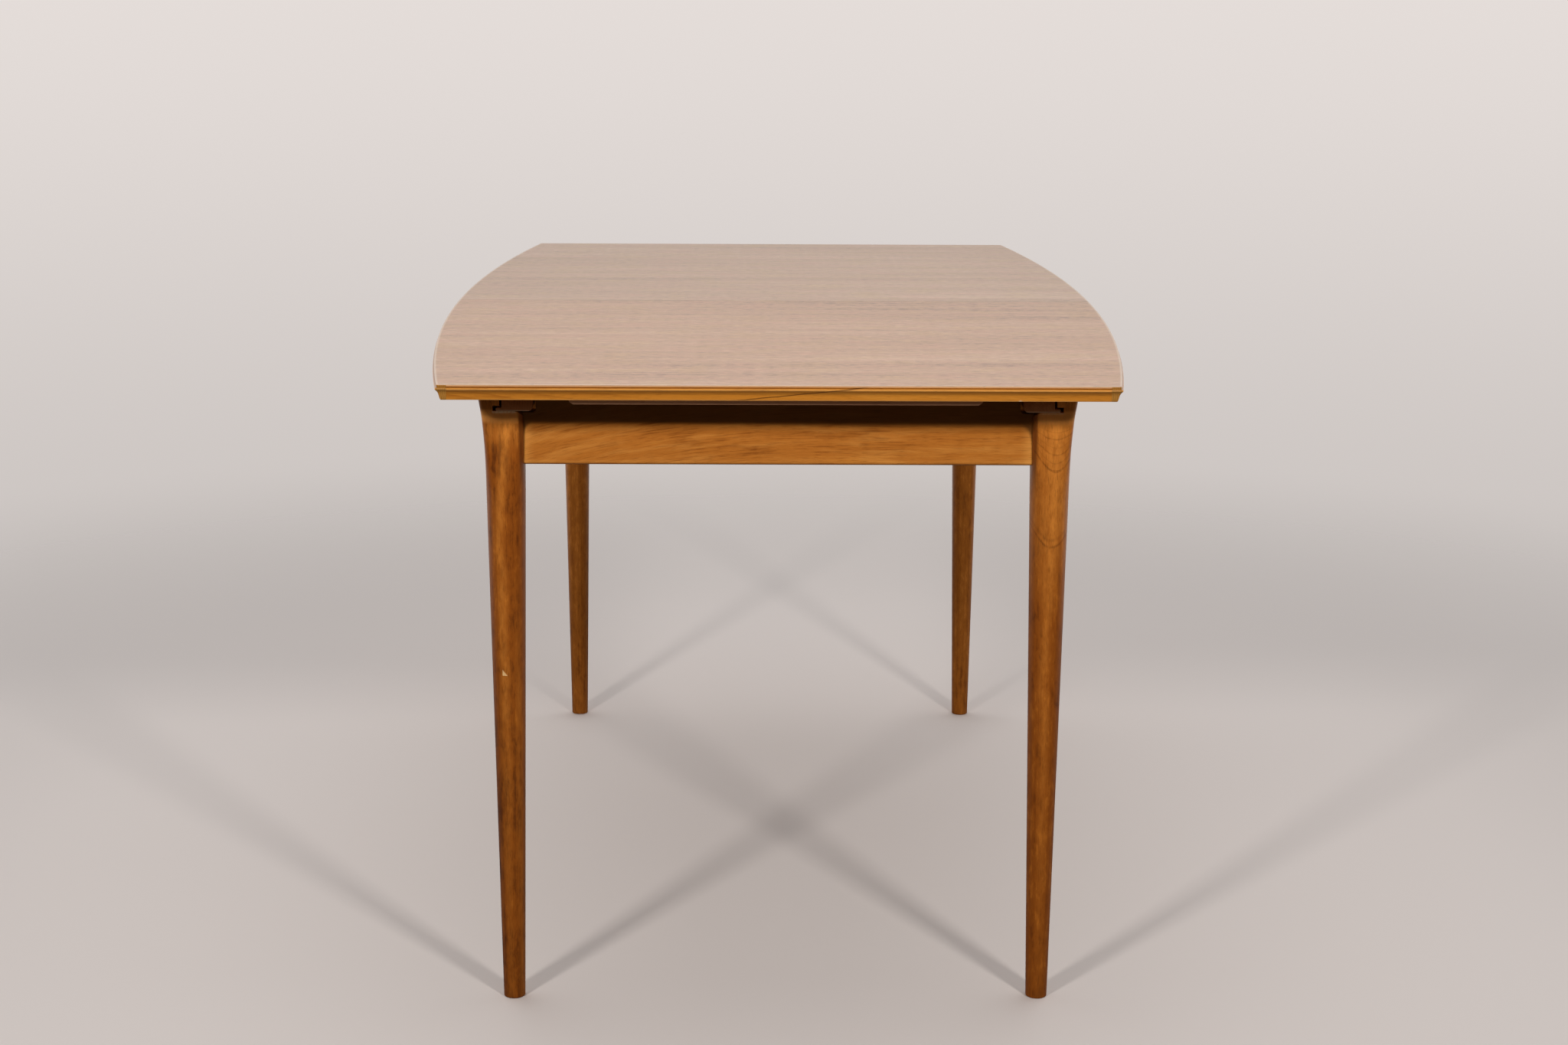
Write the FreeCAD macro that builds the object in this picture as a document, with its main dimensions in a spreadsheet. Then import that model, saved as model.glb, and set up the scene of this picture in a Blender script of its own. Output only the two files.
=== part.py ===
import FreeCAD, Part
import Sketcher
import math
import os

# Extending dining table, closed. Millimetres.
# X runs across the table, Y along its length, Z up from the floor.
# The origin is on the floor under the middle of the top.
# "near" is the -Y end, "left" is the -X side.

V = FreeCAD.Vector
doc = FreeCAD.newDocument("extending_dining_table")

# ---------------------------------------------------------------- dimensions
DIMS = [
    ("height", 738.5, "floor to the top surface"),
    ("top_thick", 17.5, "thickness of the top"),
    ("half_len", 711.0, "middle of the table to the end's nose"),
    ("half_mid", 419.0, "half width at the middle, to the nose"),
    ("half_end", 366.75, "half width at the ends, to the nose"),
    ("travel", 228.0, "slide of each half"),
    ("seam_half", 0.25, "half of the gap at the seam"),
    ("veneer", 0.8, "top veneer"),
    ("under", 0.6, "under veneer"),
    ("lip", 12.0, "width of the moulded lipping"),
    ("rim", 1.6, "top rim inside the nose"),
    ("seam_lip", 16.0, "width of the seam lipping"),
    ("leg_x", 304.0, "leg axis from the middle, across"),
    ("leg_y", 590.0, "leg axis from the middle, along"),
    ("foot_rad", 12.3, "leg radius at the floor"),
    ("neck_rad", 21.9, "leg radius where the block begins"),
    ("neck_z", 600.0, "height where the block begins"),
    ("frame_top", 720.5, "top of legs and side rails"),
    ("ledge_z", 693.0, "floor of the runner groove"),
    ("lip_z", 699.0, "underside of the groove's lip"),
    ("lip_x", 308.2, "inner face of the groove's lip"),
    ("groove_x", 315.6, "end of the groove"),
    ("rail_low", 631.0, "bottom of the rails"),
    ("rail_out", 322.0, "outer face of the side rail"),
    ("rail_in", 298.0, "inner face of the side rail"),
    ("side_shoulder", 574.0, "side rail shoulder from the middle"),
    ("side_tenon", 586.0, "side rail tenon end from the middle"),
    ("end_rail_top", 690.0, "top of the end rail's ends, under the runners"),
    ("rail_notch", 268.8, "where the end rail steps down for the runner"),
    ("end_thick", 20.0, "thickness of the end rail"),
    ("end_shoulder", 285.0, "end rail shoulder from the middle"),
    ("end_tenon", 300.0, "end rail tenon end from the middle"),
    ("tenon_thick", 10.0, "tenon thickness"),
    ("tenon_low", 642.0, "bottom of the tenons"),
    ("tenon_top", 680.0, "top of the tenons"),
    ("run_in", 271.3, "runner inner face"),
    ("run_out", 305.7, "runner outer face above the tongue"),
    ("tongue_x", 312.0, "end of the runner's tongue"),
    ("tongue_top", 697.0, "top of the tongue"),
    ("run_low", 693.3, "bottom of the runner"),
    ("run_end", 612.0, "runner's outer end from the middle"),
    ("run_start", 6.0, "runner's inner end from the middle"),
    ("stop_low", 679.0, "bottom of the runner stop"),
    ("bat_half", 223.0, "half length of the end batten"),
    ("bat_shift", 3.5, "how far the near batten sits to the left"),
    ("bat_low", 713.8, "bottom of the end batten"),
    ("bat_out", 690.0, "batten's outer edge from the middle"),
    ("bat_in", 640.0, "batten's inner edge from the middle"),
    ("brace_low", 640.0, "bottom of the corner brace"),
    ("brace_top", 676.0, "top of the corner brace"),
    ("screw_rad", 2.0, "screw shank radius"),
    ("head_rad", 3.8, "screw head radius"),
    ("head_tall", 2.4, "screw head height"),
    ("sink_rad", 4.2, "counterbore radius"),
    ("dowel_rad", 4.0, "seam dowel radius"),
    ("socket_rad", 4.2, "dowel socket radius"),
    ("dowel_z", 729.5, "height of the seam dowels"),
    ("dowel_in", 13.0, "dowel length inside its own lipping"),
    ("dowel_out", 12.0, "dowel length that stands out"),
    ("socket_deep", 14.0, "socket depth"),
    ("bear_low", 634.0, "bottom of the leaf bearers"),
    ("bear_seat", 654.0, "seat of the leaf bearers"),
    ("bear_top", 668.0, "top of the bearers' ends"),
    ("bear_y", 150.0, "bearers from the middle"),
    ("bear_wide", 40.0, "width of a bearer"),
    ("bear_house", 8.0, "depth of the bearers' housings"),
    ("leaf_half", 228.0, "half of the leaf's width"),
    ("leaf_in", 209.5, "folded leaf, half of its length"),
    ("leaf_low", 654.2, "underside of the folded leaf"),
    ("leaf_gap", 0.6, "gap between the folded panels"),
    ("leaf_seam_lip", 16.0, "leaf seam lipping"),
    ("pin_rad", 1.25, "hinge pin radius"),
    ("knuckle_rad", 3.0, "hinge knuckle radius"),
    ("flap_thick", 1.4, "hinge plate thickness"),
    ("flap_wide", 24.0, "hinge plate width"),
    ("flap_long", 50.0, "hinge length"),
]

sheet = doc.addObject("Spreadsheet::Sheet", "Dims")
for row, (alias, value, note) in enumerate(DIMS, start=1):
    sheet.set("A%d" % row, note)
    sheet.set("B%d" % row, "%g" % value)
    sheet.setAlias("B%d" % row, alias)
doc.recompute()


class Q:
    """A size: its number and the sheet expression that gives it."""

    def __init__(self, number, text):
        self.v = float(number)
        self.s = text

    def __add__(self, o):
        o = q(o)
        return Q(self.v + o.v, "(%s + %s)" % (self.s, o.s))

    def __sub__(self, o):
        o = q(o)
        return Q(self.v - o.v, "(%s - %s)" % (self.s, o.s))

    def __mul__(self, o):
        o = q(o)
        return Q(self.v * o.v, "(%s * %s)" % (self.s, o.s))

    def __truediv__(self, o):
        o = q(o)
        return Q(self.v / o.v, "(%s / %s)" % (self.s, o.s))

    def __neg__(self):
        return Q(-self.v, "(0 - %s)" % self.s)

    def __radd__(self, o):
        return q(o) + self

    def __rsub__(self, o):
        return q(o) - self

    def __rmul__(self, o):
        return q(o) * self


def q(o):
    if isinstance(o, Q):
        return o
    o = float(o)
    if o < 0:
        return Q(o, "(0 - %r)" % -o)
    return Q(o, "%r" % o)


def root(a):
    return Q(math.sqrt(a.v), "sqrt(%s)" % a.s)


D = {alias: Q(value, "Dims." + alias) for alias, value, note in DIMS}

TOP = D["height"]                        # top surface
LOW = TOP - D["top_thick"]               # underside of the top
CORE_TOP = TOP - D["veneer"]
CORE_LOW = LOW + D["under"]
SAG = D["half_mid"] - D["half_end"]
SIDE_RAD = (D["half_len"] * D["half_len"] + SAG * SAG) / (SAG * 2)
SIDE_CX = SIDE_RAD - D["half_mid"]       # arc centre from the middle

PARTS = []                               # (label, object), in order


# ------------------------------------------------------------------- helpers
def bind(obj, prop, size):
    size = q(size)
    obj.setExpression(prop, size.s)


def new_body(label, at=None):
    body = doc.addObject("PartDesign::Body", label)
    body.Label = label
    body.Placement = FreeCAD.Placement(V(0, 0, 0), FreeCAD.Rotation())
    if at is not None:
        for axis, size in zip("xyz", at):
            if size is not None:
                bind(body, "Placement.Base." + axis, size)
    PARTS.append((label, body))
    return body


def origin_plane(body, role):
    for feature in body.Origin.OriginFeatures:
        if feature.Role == role:
            return feature
    raise RuntimeError(role)


def loop_vertices(vertices):
    """Vertices are (x, y) or (x, y, radius, side); the last two make the edge
    to the next vertex an arc, side +1 with its centre on the left."""
    out = []
    for item in vertices:
        x, y = q(item[0]), q(item[1])
        if len(item) > 2:
            out.append((x, y, q(item[2]), item[3]))
        else:
            out.append((x, y, None, 0))
    return out


def sketch(body, name, role, shift, loops):
    """A closed sketch on one of the body's origin planes, shifted along the
    plane's normal. Every corner and radius is bound to the sheet."""
    sk = body.newObject("Sketcher::SketchObject", name)
    sk.AttachmentSupport = [(origin_plane(body, role), "")]
    sk.MapMode = "FlatFace"
    if isinstance(shift, tuple):
        sk.AttachmentOffset = FreeCAD.Placement(V(shift[0].v, 0, shift[1].v), FreeCAD.Rotation())
        bind(sk, "AttachmentOffset.Base.x", shift[0])
        bind(sk, "AttachmentOffset.Base.z", shift[1])
    else:
        shift = q(shift)
        sk.AttachmentOffset = FreeCAD.Placement(V(0, 0, shift.v), FreeCAD.Rotation())
        bind(sk, "AttachmentOffset.Base.z", shift)
    for loop in loops:
        if loop[0] == "circle":
            cx, cy, rad = q(loop[1]), q(loop[2]), q(loop[3])
            g = sk.addGeometry(Part.Circle(V(cx.v, cy.v, 0), V(0, 0, 1), rad.v), False)
            for kind, size in (("DistanceX", cx), ("DistanceY", cy)):
                n = sk.addConstraint(Sketcher.Constraint(kind, -1, 1, g, 3, size.v))
                sk.setExpression("Constraints[%d]" % n, size.s)
            n = sk.addConstraint(Sketcher.Constraint("Radius", g, rad.v))
            sk.setExpression("Constraints[%d]" % n, rad.s)
            continue
        verts = loop_vertices(loop)
        count = len(verts)
        ends = []
        for i in range(count):
            x0, y0, rad, side = verts[i]
            x1, y1 = verts[(i + 1) % count][:2]
            if rad is None:
                g = sk.addGeometry(Part.LineSegment(V(x0.v, y0.v, 0), V(x1.v, y1.v, 0)), False)
                ends.append((g, 1, 2))
                continue
            dx, dy = x1.v - x0.v, y1.v - y0.v
            chord = math.hypot(dx, dy)
            rise = math.sqrt(max(rad.v ** 2 - (chord / 2) ** 2, 0.0))
            cx = (x0.v + x1.v) / 2 - side * dy / chord * rise
            cy = (y0.v + y1.v) / 2 + side * dx / chord * rise
            a0 = math.atan2(y0.v - cy, x0.v - cx)
            a1 = math.atan2(y1.v - cy, x1.v - cx)
            if side < 0:
                a0, a1 = a1, a0
            while a1 <= a0:
                a1 += 2 * math.pi
            circle = Part.Circle(V(cx, cy, 0), V(0, 0, 1), rad.v)
            g = sk.addGeometry(Part.ArcOfCircle(circle, a0, a1), False)
            ends.append((g, 1, 2) if side > 0 else (g, 2, 1))
            n = sk.addConstraint(Sketcher.Constraint("Radius", g, rad.v))
            sk.setExpression("Constraints[%d]" % n, rad.s)
        for i in range(count):
            g, first, last = ends[i]
            h, hfirst, hlast = ends[(i + 1) % count]
            sk.addConstraint(Sketcher.Constraint("Coincident", g, last, h, hfirst))
            x0, y0 = verts[i][:2]
            n = sk.addConstraint(Sketcher.Constraint("DistanceX", -1, 1, g, first, x0.v))
            sk.setExpression("Constraints[%d]" % n, x0.s)
            n = sk.addConstraint(Sketcher.Constraint("DistanceY", -1, 1, g, first, y0.v))
            sk.setExpression("Constraints[%d]" % n, y0.s)
    return sk


def pad(body, name, sk, length):
    feature = body.newObject("PartDesign::Pad", name)
    feature.Profile = sk
    feature.Midplane = True
    bind(feature, "Length", length)
    return feature


def pocket(body, name, sk, length):
    feature = body.newObject("PartDesign::Pocket", name)
    feature.Profile = sk
    feature.Midplane = True
    bind(feature, "Length", length)
    return feature


def rect(x0, x1, y0, y1):
    return [(x0, y0), (x1, y0), (x1, y1), (x0, y1)]


def mid(a, b):
    return (q(a) + q(b)) / 2


def flip(sign, size):
    return q(size) if sign > 0 else -q(size)


def span(sign, a, b):
    """Two sizes on the side given by sign, low one first."""
    return (q(a), q(b)) if sign > 0 else (-q(b), -q(a))


def cylinder(name, radius, height, at, along):
    c = doc.addObject("Part::Cylinder", name)
    bind(c, "Radius", radius)
    bind(c, "Height", height)
    place(c, at, along)
    return c


def cone(name, r1, r2, height, at, along):
    c = doc.addObject("Part::Cone", name)
    bind(c, "Radius1", r1)
    bind(c, "Radius2", r2)
    bind(c, "Height", height)
    place(c, at, along)
    return c


def place(obj, at, along):
    rot = FreeCAD.Rotation(V(0, 0, 1), V(*along))
    obj.Placement = FreeCAD.Placement(V(*[q(a).v for a in at]), rot)
    for axis, size in zip("xyz", at):
        bind(obj, "Placement.Base." + axis, size)


def box(name, x0, x1, y0, y1, z0, z1):
    b = doc.addObject("Part::Box", name)
    x0, x1, y0, y1, z0, z1 = [q(a) for a in (x0, x1, y0, y1, z0, z1)]
    bind(b, "Length", x1 - x0)
    bind(b, "Width", y1 - y0)
    bind(b, "Height", z1 - z0)
    b.Placement = FreeCAD.Placement(V(x0.v, y0.v, z0.v), FreeCAD.Rotation())
    for axis, size in zip("xyz", (x0, y0, z0)):
        bind(b, "Placement.Base." + axis, size)
    return b


def fuse(label, shapes, is_part=True):
    f = doc.addObject("Part::MultiFuse", label)
    f.Label = label
    f.Shapes = shapes
    if is_part:
        PARTS.append((label, f))
    return f


def cut(label, base, tool, is_part=True):
    c = doc.addObject("Part::Cut", label)
    c.Label = label
    c.Base = base
    c.Tool = tool
    if is_part:
        PARTS.append((label, c))
    return c


def screws(label, items):
    """A group of pan-head screws. Each item is (seat point, direction from
    head to tip, shank length); the head stands on the seat, away from the tip."""
    metal, slots = [], []
    for i, (seat, along, length) in enumerate(items):
        metal.append(cylinder("%s_shank_%d" % (label, i), D["screw_rad"], length, seat, along))
        back = [-a for a in along]
        metal.append(cylinder("%s_head_%d" % (label, i), D["head_rad"], D["head_tall"], seat, back))
        # slot across the head, 1 wide and 1.2 deep
        face = [q(s) + D["head_tall"] * b for s, b in zip(seat, back)]
        half = []
        for k in range(3):
            if along[k] != 0:
                half.append((face[k] - 1.2, face[k] + 1.2))
            else:
                wide = 0.5 if (k == (0 if along[0] == 0 else 1)) else 5.0
                half.append((face[k] - wide, face[k] + wide))
        slots.append(box("%s_slot_%d" % (label, i), half[0][0], half[0][1],
                         half[1][0], half[1][1], half[2][0], half[2][1]))
    group = fuse(label + "_metal", metal, False)
    cutter = fuse(label + "_slots", slots, False)
    return cut(label, group, cutter)


# ------------------------------------------------- edge moulding of the top
# Outline of the moulded lipping, as (inset from the nose, height, [arc]).
# Quirk under the veneer, bead with the nose, cove, steep lower face.
def moulding():
    z = TOP - D["veneer"]
    return [
        (D["rim"], z),
        (D["rim"], z - 1.4),
        (D["rim"] + 0.9, z - 2.2),
        (Q(1.15, "1.15"), z - 2.8, 1.45, "out"),
        (Q(0.62, "0.62"), z - 5.4, 9.0, "in"),
        (Q(3.7, "3.7"), z - 9.7),
        (Q(5.2, "5.2"), z - 15.0),
        (Q(6.0, "6.0"), LOW),
    ]


def section(to_x, mirrored, back, base_z=None, show_down=False):
    """The lipping's section. to_x maps an inset to the sketch's x; mirrored
    says that insets grow to +x."""
    pts = []
    for item in moulding():
        x, z = to_x(item[0]), item[1]
        if base_z is not None:
            # a leaf panel: the same section set at another height
            z = (base_z + (z - LOW)) if not show_down else (base_z + (TOP - z))
        if len(item) > 2:
            # the outline runs downward, with the material behind it
            side = 1 if (item[3] == "out") else -1
            if not mirrored:
                side = -side
            if show_down:
                side = -side
            pts.append((x, z, item[2], side))
        else:
            pts.append((x, z))
    pts.append((to_x(back), pts[-1][1]))
    pts.append((to_x(back), pts[0][1]))
    return pts


# --------------------------------------------------------------------- legs
def eight(out_x, in_x, half_y, cutb, crown, sx, flank=None):
    """A squared circle of eight arcs. out_x and in_x are its reaches away
    from and towards the table's middle, cutb the corner's size and crown
    the rise of each side. flank gives the corners on the middle's side their
    own width, depth and turn in degrees."""
    out_x, in_x, half_y, cutb, crown = [q(a) for a in (out_x, in_x, half_y, cutb, crown)]
    wide, deep = (q(flank[0]), q(flank[1])) if flank else (cutb, cutb)
    xa, xb = (out_x, in_x) if sx > 0 else (in_x, out_x)
    (wa, da), (wb, db) = ((cutb, cutb), (wide, deep)) if sx > 0 else ((wide, deep), (cutb, cutb))
    flanks = ((3, 5) if sx > 0 else (1, 7)) if flank else ()
    pts = [(xa - crown, -half_y + da), (xa - crown, half_y - da),
           (xa - wa, half_y - crown), (-xb + wb, half_y - crown),
           (-xb + crown, half_y - db), (-xb + crown, -half_y + db),
           (-xb + wb, -half_y + crown), (xa - wa, -half_y + crown)]
    loop = []
    for i in range(8):
        x0, y0 = pts[i]
        x1, y1 = pts[(i + 1) % 8]
        if i % 2 == 0:
            # a side: chord and crown give the radius
            half = ((y1 - y0) if i % 4 == 0 else (x1 - x0)) / 2
            rad = (half * half + crown * crown) / (crown * 2)
        else:
            chord = math.hypot(x1.v - x0.v, y1.v - y0.v)
            side_x = math.hypot(xa.v + xb.v - 2 * cutb.v, 0) / 2
            side_y = (2 * half_y.v - 2 * cutb.v) / 2
            turn = math.pi / 2 - 2 * math.atan2(crown.v, side_x) - 2 * math.atan2(crown.v, side_y)
            if i in flanks:
                turn = math.radians(flank[2])
            rad = q(chord / (2 * math.sin(turn / 2)))
        loop.append((x0, y0, rad, 1))
    return loop


def make_leg(label, sx, sy):
    leg = new_body(label, (flip(sx, D["leg_x"]), flip(sy, D["leg_y"]), q(0)))
    neck, foot = D["neck_rad"], D["foot_rad"]
    # turned taper, with a softened foot edge
    sk = sketch(leg, label + "_taper_sketch", "XZ_Plane", 0, [[
        (0, 0), (foot - 1.5, 0, 1.5, 1), (foot, 1.5), (neck, D["neck_z"]), (0, D["neck_z"])]])
    rev = leg.newObject("PartDesign::Revolution", label + "_taper")
    rev.Profile = sk
    rev.ReferenceAxis = (sk, ["V_Axis"])
    rev.Angle = 360.0
    # flared block
    circle_cut, circle_crown = neck * 0.61731656763, neck * 0.07612046749
    rows = [
        (D["neck_z"], neck, neck, neck, circle_cut, circle_crown, None),
        (q(640), q(22.5), q(22.1), q(22.0), q(10.5), q(0.95), (9.0, 11.6, 50)),
        (q(681), q(24.8), q(22.1), q(22.0), q(8.0), q(0.6), (5.6, 11.6, 38)),
        (q(704), q(28.1), q(22.1), q(22.0), q(7.2), q(0.5), (5.2, 11.6, 36)),
        (D["frame_top"], q(30.6), q(22.1), q(22.0), q(6.8), q(0.5), (5.2, 11.6, 36)),
    ]
    sks = [sketch(leg, "%s_section_%d" % (label, i), "XY_Plane", r[0],
                  [eight(r[1], r[2], r[3], r[4], r[5], sx, r[6])]) for i, r in enumerate(rows)]
    loft = leg.newObject("PartDesign::AdditiveLoft", label + "_block")
    loft.Profile = sks[0]
    loft.Sections = sks[1:]
    loft.Ruled = False
    loft.Closed = False
    # notch, groove and rounded inner shoulder for the runner, cut right through
    lip = flip(sx, D["lip_x"] - D["leg_x"])
    end = flip(sx, D["groove_x"] - D["leg_x"])
    turn = 1 if sx > 0 else -1
    sk = sketch(leg, label + "_notch_sketch", "XZ_Plane", 0, [[
        (lip, D["frame_top"] + 8), (lip, D["lip_z"]), (end, D["lip_z"]), (end, D["ledge_z"]),
        (flip(sx, -11.4), D["ledge_z"], 10.4, turn), (flip(sx, -21.8), D["ledge_z"] - 10.4),
        (flip(sx, -34), D["ledge_z"] - 10.4), (flip(sx, -34), D["frame_top"] + 8)]])
    pocket(leg, label + "_notch", sk, 60)
    # housing and mortise for the end rail
    half = D["end_thick"] / 2
    sh = D["end_shoulder"] - D["leg_x"]
    sk = sketch(leg, label + "_end_housing_sketch", "YZ_Plane", flip(sx, sh - 10),
                [end_section(0)])
    pocket(leg, label + "_end_housing", sk, 20)
    sk = sketch(leg, label + "_end_mortise_sketch", "YZ_Plane",
                flip(sx, D["end_tenon"] - D["leg_x"] - 15),
                [rect(-(D["tenon_thick"] / 2), D["tenon_thick"] / 2, D["tenon_low"], D["tenon_top"])])
    pocket(leg, label + "_end_mortise", sk, 30)
    # housing and mortise for the side rail
    edge = -(D["side_shoulder"] - D["leg_y"])
    sk = sketch(leg, label + "_side_housing_sketch", "XZ_Plane", flip(sy, edge + 10),
                [side_section(sx, D["leg_x"])])
    pocket(leg, label + "_side_housing", sk, 20)
    low, high = span(sx, D["rail_in"] + 5 - D["leg_x"], D["rail_in"] + 5 + D["tenon_thick"] - D["leg_x"])
    sk = sketch(leg, label + "_side_mortise_sketch", "XZ_Plane",
                flip(sy, -(D["side_tenon"] - D["leg_y"]) + 15),
                [rect(low, high, D["tenon_low"], D["tenon_top"])])
    pocket(leg, label + "_side_mortise", sk, 30)


def end_section(centre, whole=False):
    """End rail section in Y and Z, its lower edges rounded. The whole height
    also has rounded upper edges; its ends, which enter the legs, are lower."""
    h = D["end_thick"] / 2
    c = q(centre)
    a, b = c - h, c + h
    lo, hi = D["rail_low"], D["end_rail_top"]
    if not whole:
        return [(a + 4, lo), (b - 4, lo, 4, 1), (b, lo + 4), (b, hi), (a, hi), (a, lo + 4, 4, 1)]
    hi = D["frame_top"]
    return [(a + 4, lo), (b - 4, lo, 4, 1), (b, lo + 4), (b, hi - 2, 2, 1), (b - 2, hi),
            (a + 2, hi, 2, 1), (a, hi - 2), (a, lo + 4, 4, 1)]


def side_section(sx, shift):
    """Side rail section in X and Z: ledge, groove and lip for the runner."""
    s = q(shift)
    lo = D["rail_low"]
    pts = [(D["rail_in"] - s, lo + 3, 3, 1), (D["rail_in"] + 3 - s, lo),
           (D["rail_out"] - 4 - s, lo, 4, 1), (D["rail_out"] - s, lo + 4),
           (D["rail_out"] - s, D["frame_top"] - 2, 2, 1), (D["rail_out"] - 2 - s, D["frame_top"]),
           (D["lip_x"] - s, D["frame_top"]), (D["lip_x"] - s, D["lip_z"]),
           (D["groove_x"] - s, D["lip_z"]), (D["groove_x"] - s, D["ledge_z"]),
           (D["rail_in"] - s, D["ledge_z"])]
    if sx > 0:
        return pts
    return [(-p[0],) + tuple(p[1:2]) + ((p[2], -p[3]) if len(p) > 2 else ()) for p in pts]


SIDES = (("left", -1), ("right", 1))
ENDS = (("near", -1), ("far", 1))

for end_name, sy in ENDS:
    for side_name, sx in SIDES:
        make_leg("leg_%s_%s" % (end_name, side_name), sx, sy)

# -------------------------------------------------------------------- rails
BRACE_A = 488.0       # side-rail screw of a corner brace, from the middle
BRACE_B = 222.0       # end-rail screw of a corner brace, from the middle
BRACE_Z = mid(D["brace_low"], D["brace_top"])

for side_name, sx in SIDES:
    label = "side_rail_" + side_name
    rail = new_body(label)
    sk = sketch(rail, label + "_section", "XZ_Plane", 0, [side_section(sx, 0)])
    pad(rail, label + "_board", sk, D["side_shoulder"] * 2)
    low, high = span(sx, D["rail_in"] + 5, D["rail_in"] + 5 + D["tenon_thick"])
    sk = sketch(rail, label + "_tenon_section", "XZ_Plane", 0,
                [rect(low, high, D["tenon_low"], D["tenon_top"])])
    pad(rail, label + "_tenons", sk, D["side_tenon"] * 2)
    # housings for the two bearers and pilot holes for the brace screws
    sk = sketch(rail, label + "_housing_sketch", "YZ_Plane", flip(sx, D["rail_in"] - 2),
                [rect(D["bear_y"] - D["bear_wide"] / 2, D["bear_y"] + D["bear_wide"] / 2,
                      D["bear_low"], D["bear_top"]),
                 rect(-D["bear_y"] - D["bear_wide"] / 2, -D["bear_y"] + D["bear_wide"] / 2,
                      D["bear_low"], D["bear_top"])])
    pocket(rail, label + "_housings", sk, D["bear_house"] * 2 + 4)
    sk = sketch(rail, label + "_pilot_sketch", "YZ_Plane", flip(sx, D["rail_in"]),
                [("circle", q(BRACE_A), BRACE_Z, D["screw_rad"]),
                 ("circle", q(-BRACE_A), BRACE_Z, D["screw_rad"])])
    pocket(rail, label + "_pilots", sk, 28)

for end_name, sy in ENDS:
    label = "end_rail_" + end_name
    rail = new_body(label)
    centre = flip(sy, D["leg_y"])
    sk = sketch(rail, label + "_section", "YZ_Plane", 0, [end_section(centre, True)])
    pad(rail, label + "_board", sk, D["end_shoulder"] * 2)
    # the upper corners are notched, so that the runners pass
    loops = []
    for s in (-1, 1):
        a, floor, high = D["rail_notch"], D["end_rail_top"], D["frame_top"] + 8
        loops.append([(flip(s, a), high), (flip(s, a), floor + 4, 4, s), (flip(s, a + 4), floor),
                      (flip(s, D["end_shoulder"] + 8), floor), (flip(s, D["end_shoulder"] + 8), high)])
    sk = sketch(rail, label + "_notch_sketch", "XZ_Plane", -centre, loops)
    pocket(rail, label + "_notches", sk, D["end_thick"] * 2)
    sk = sketch(rail, label + "_tenon_section", "YZ_Plane", 0,
                [rect(centre - D["tenon_thick"] / 2, centre + D["tenon_thick"] / 2,
                      D["tenon_low"], D["tenon_top"])])
    pad(rail, label + "_tenons", sk, D["end_tenon"] * 2)
    inner = flip(sy, D["leg_y"] - D["end_thick"] / 2)
    sk = sketch(rail, label + "_pilot_sketch", "XZ_Plane", -inner,
                [("circle", q(BRACE_B), BRACE_Z, D["screw_rad"]),
                 ("circle", q(-BRACE_B), BRACE_Z, D["screw_rad"])])
    pocket(rail, label + "_pilots", sk, 26)

# ------------------------------------------------------------ corner braces
inner_end = D["leg_y"] - D["end_thick"] / 2
brace_items = []
for end_name, sy in ENDS:
    for side_name, sx in SIDES:
        label = "corner_brace_%s_%s" % (end_name, side_name)
        brace = new_body(label)
        outline = [(D["rail_in"], inner_end - 80), (D["rail_in"], inner_end - 110),
                   (D["rail_in"] - 94, inner_end), (D["rail_in"] - 68, inner_end)]
        loop = [(flip(sx, x), flip(sy, y)) for x, y in outline]
        sk = sketch(brace, label + "_outline", "XY_Plane", BRACE_Z, [loop])
        pad(brace, label + "_block", sk, D["brace_top"] - D["brace_low"])
        # clearance holes and counterbores
        sk = sketch(brace, label + "_hole_a_sketch", "YZ_Plane", flip(sx, D["rail_in"]),
                    [("circle", flip(sy, BRACE_A), BRACE_Z, D["screw_rad"])])
        pocket(brace, label + "_hole_a", sk, 80)
        sk = sketch(brace, label + "_sink_a_sketch", "YZ_Plane", flip(sx, D["rail_in"] - 8 - 20),
                    [("circle", flip(sy, BRACE_A), BRACE_Z, D["sink_rad"])])
        pocket(brace, label + "_sink_a", sk, 40)
        sk = sketch(brace, label + "_hole_b_sketch", "XZ_Plane", -flip(sy, inner_end),
                    [("circle", flip(sx, BRACE_B), BRACE_Z, D["screw_rad"])])
        pocket(brace, label + "_hole_b", sk, 80)
        sk = sketch(brace, label + "_sink_b_sketch", "XZ_Plane", -flip(sy, inner_end - 8 - 20),
                    [("circle", flip(sx, BRACE_B), BRACE_Z, D["sink_rad"])])
        pocket(brace, label + "_sink_b", sk, 40)
        brace_items.append(((flip(sx, D["rail_in"] - 8), flip(sy, BRACE_A), BRACE_Z),
                            (sx, 0, 0), q(22)))
        brace_items.append(((flip(sx, BRACE_B), flip(sy, inner_end - 8), BRACE_Z),
                            (0, sy, 0), q(21)))
screws("brace_screws", brace_items)

# ----------------------------------------------------------------- bearers
for end_name, sy in ENDS:
    label = "leaf_bearer_" + end_name
    bearer = new_body(label)
    e = D["rail_in"] + D["bear_house"]
    g = D["leaf_in"] + 2.5
    sk = sketch(bearer, label + "_section", "XZ_Plane", -flip(sy, D["bear_y"]), [[
        (-e, D["bear_low"]), (e, D["bear_low"]), (e, D["bear_top"]), (g, D["bear_top"]),
        (g, D["bear_seat"]), (-g, D["bear_seat"]), (-g, D["bear_top"]), (-e, D["bear_top"])]])
    pad(bearer, label + "_board", sk, D["bear_wide"])


# ---------------------------------------------------------------- top halves
def arc_x(inset, y):
    """Distance from the middle of the side arc, inset from the nose, at y."""
    r = SIDE_RAD - q(inset)
    y = q(y)
    return root(r * r - y * y) - SIDE_CX


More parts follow.
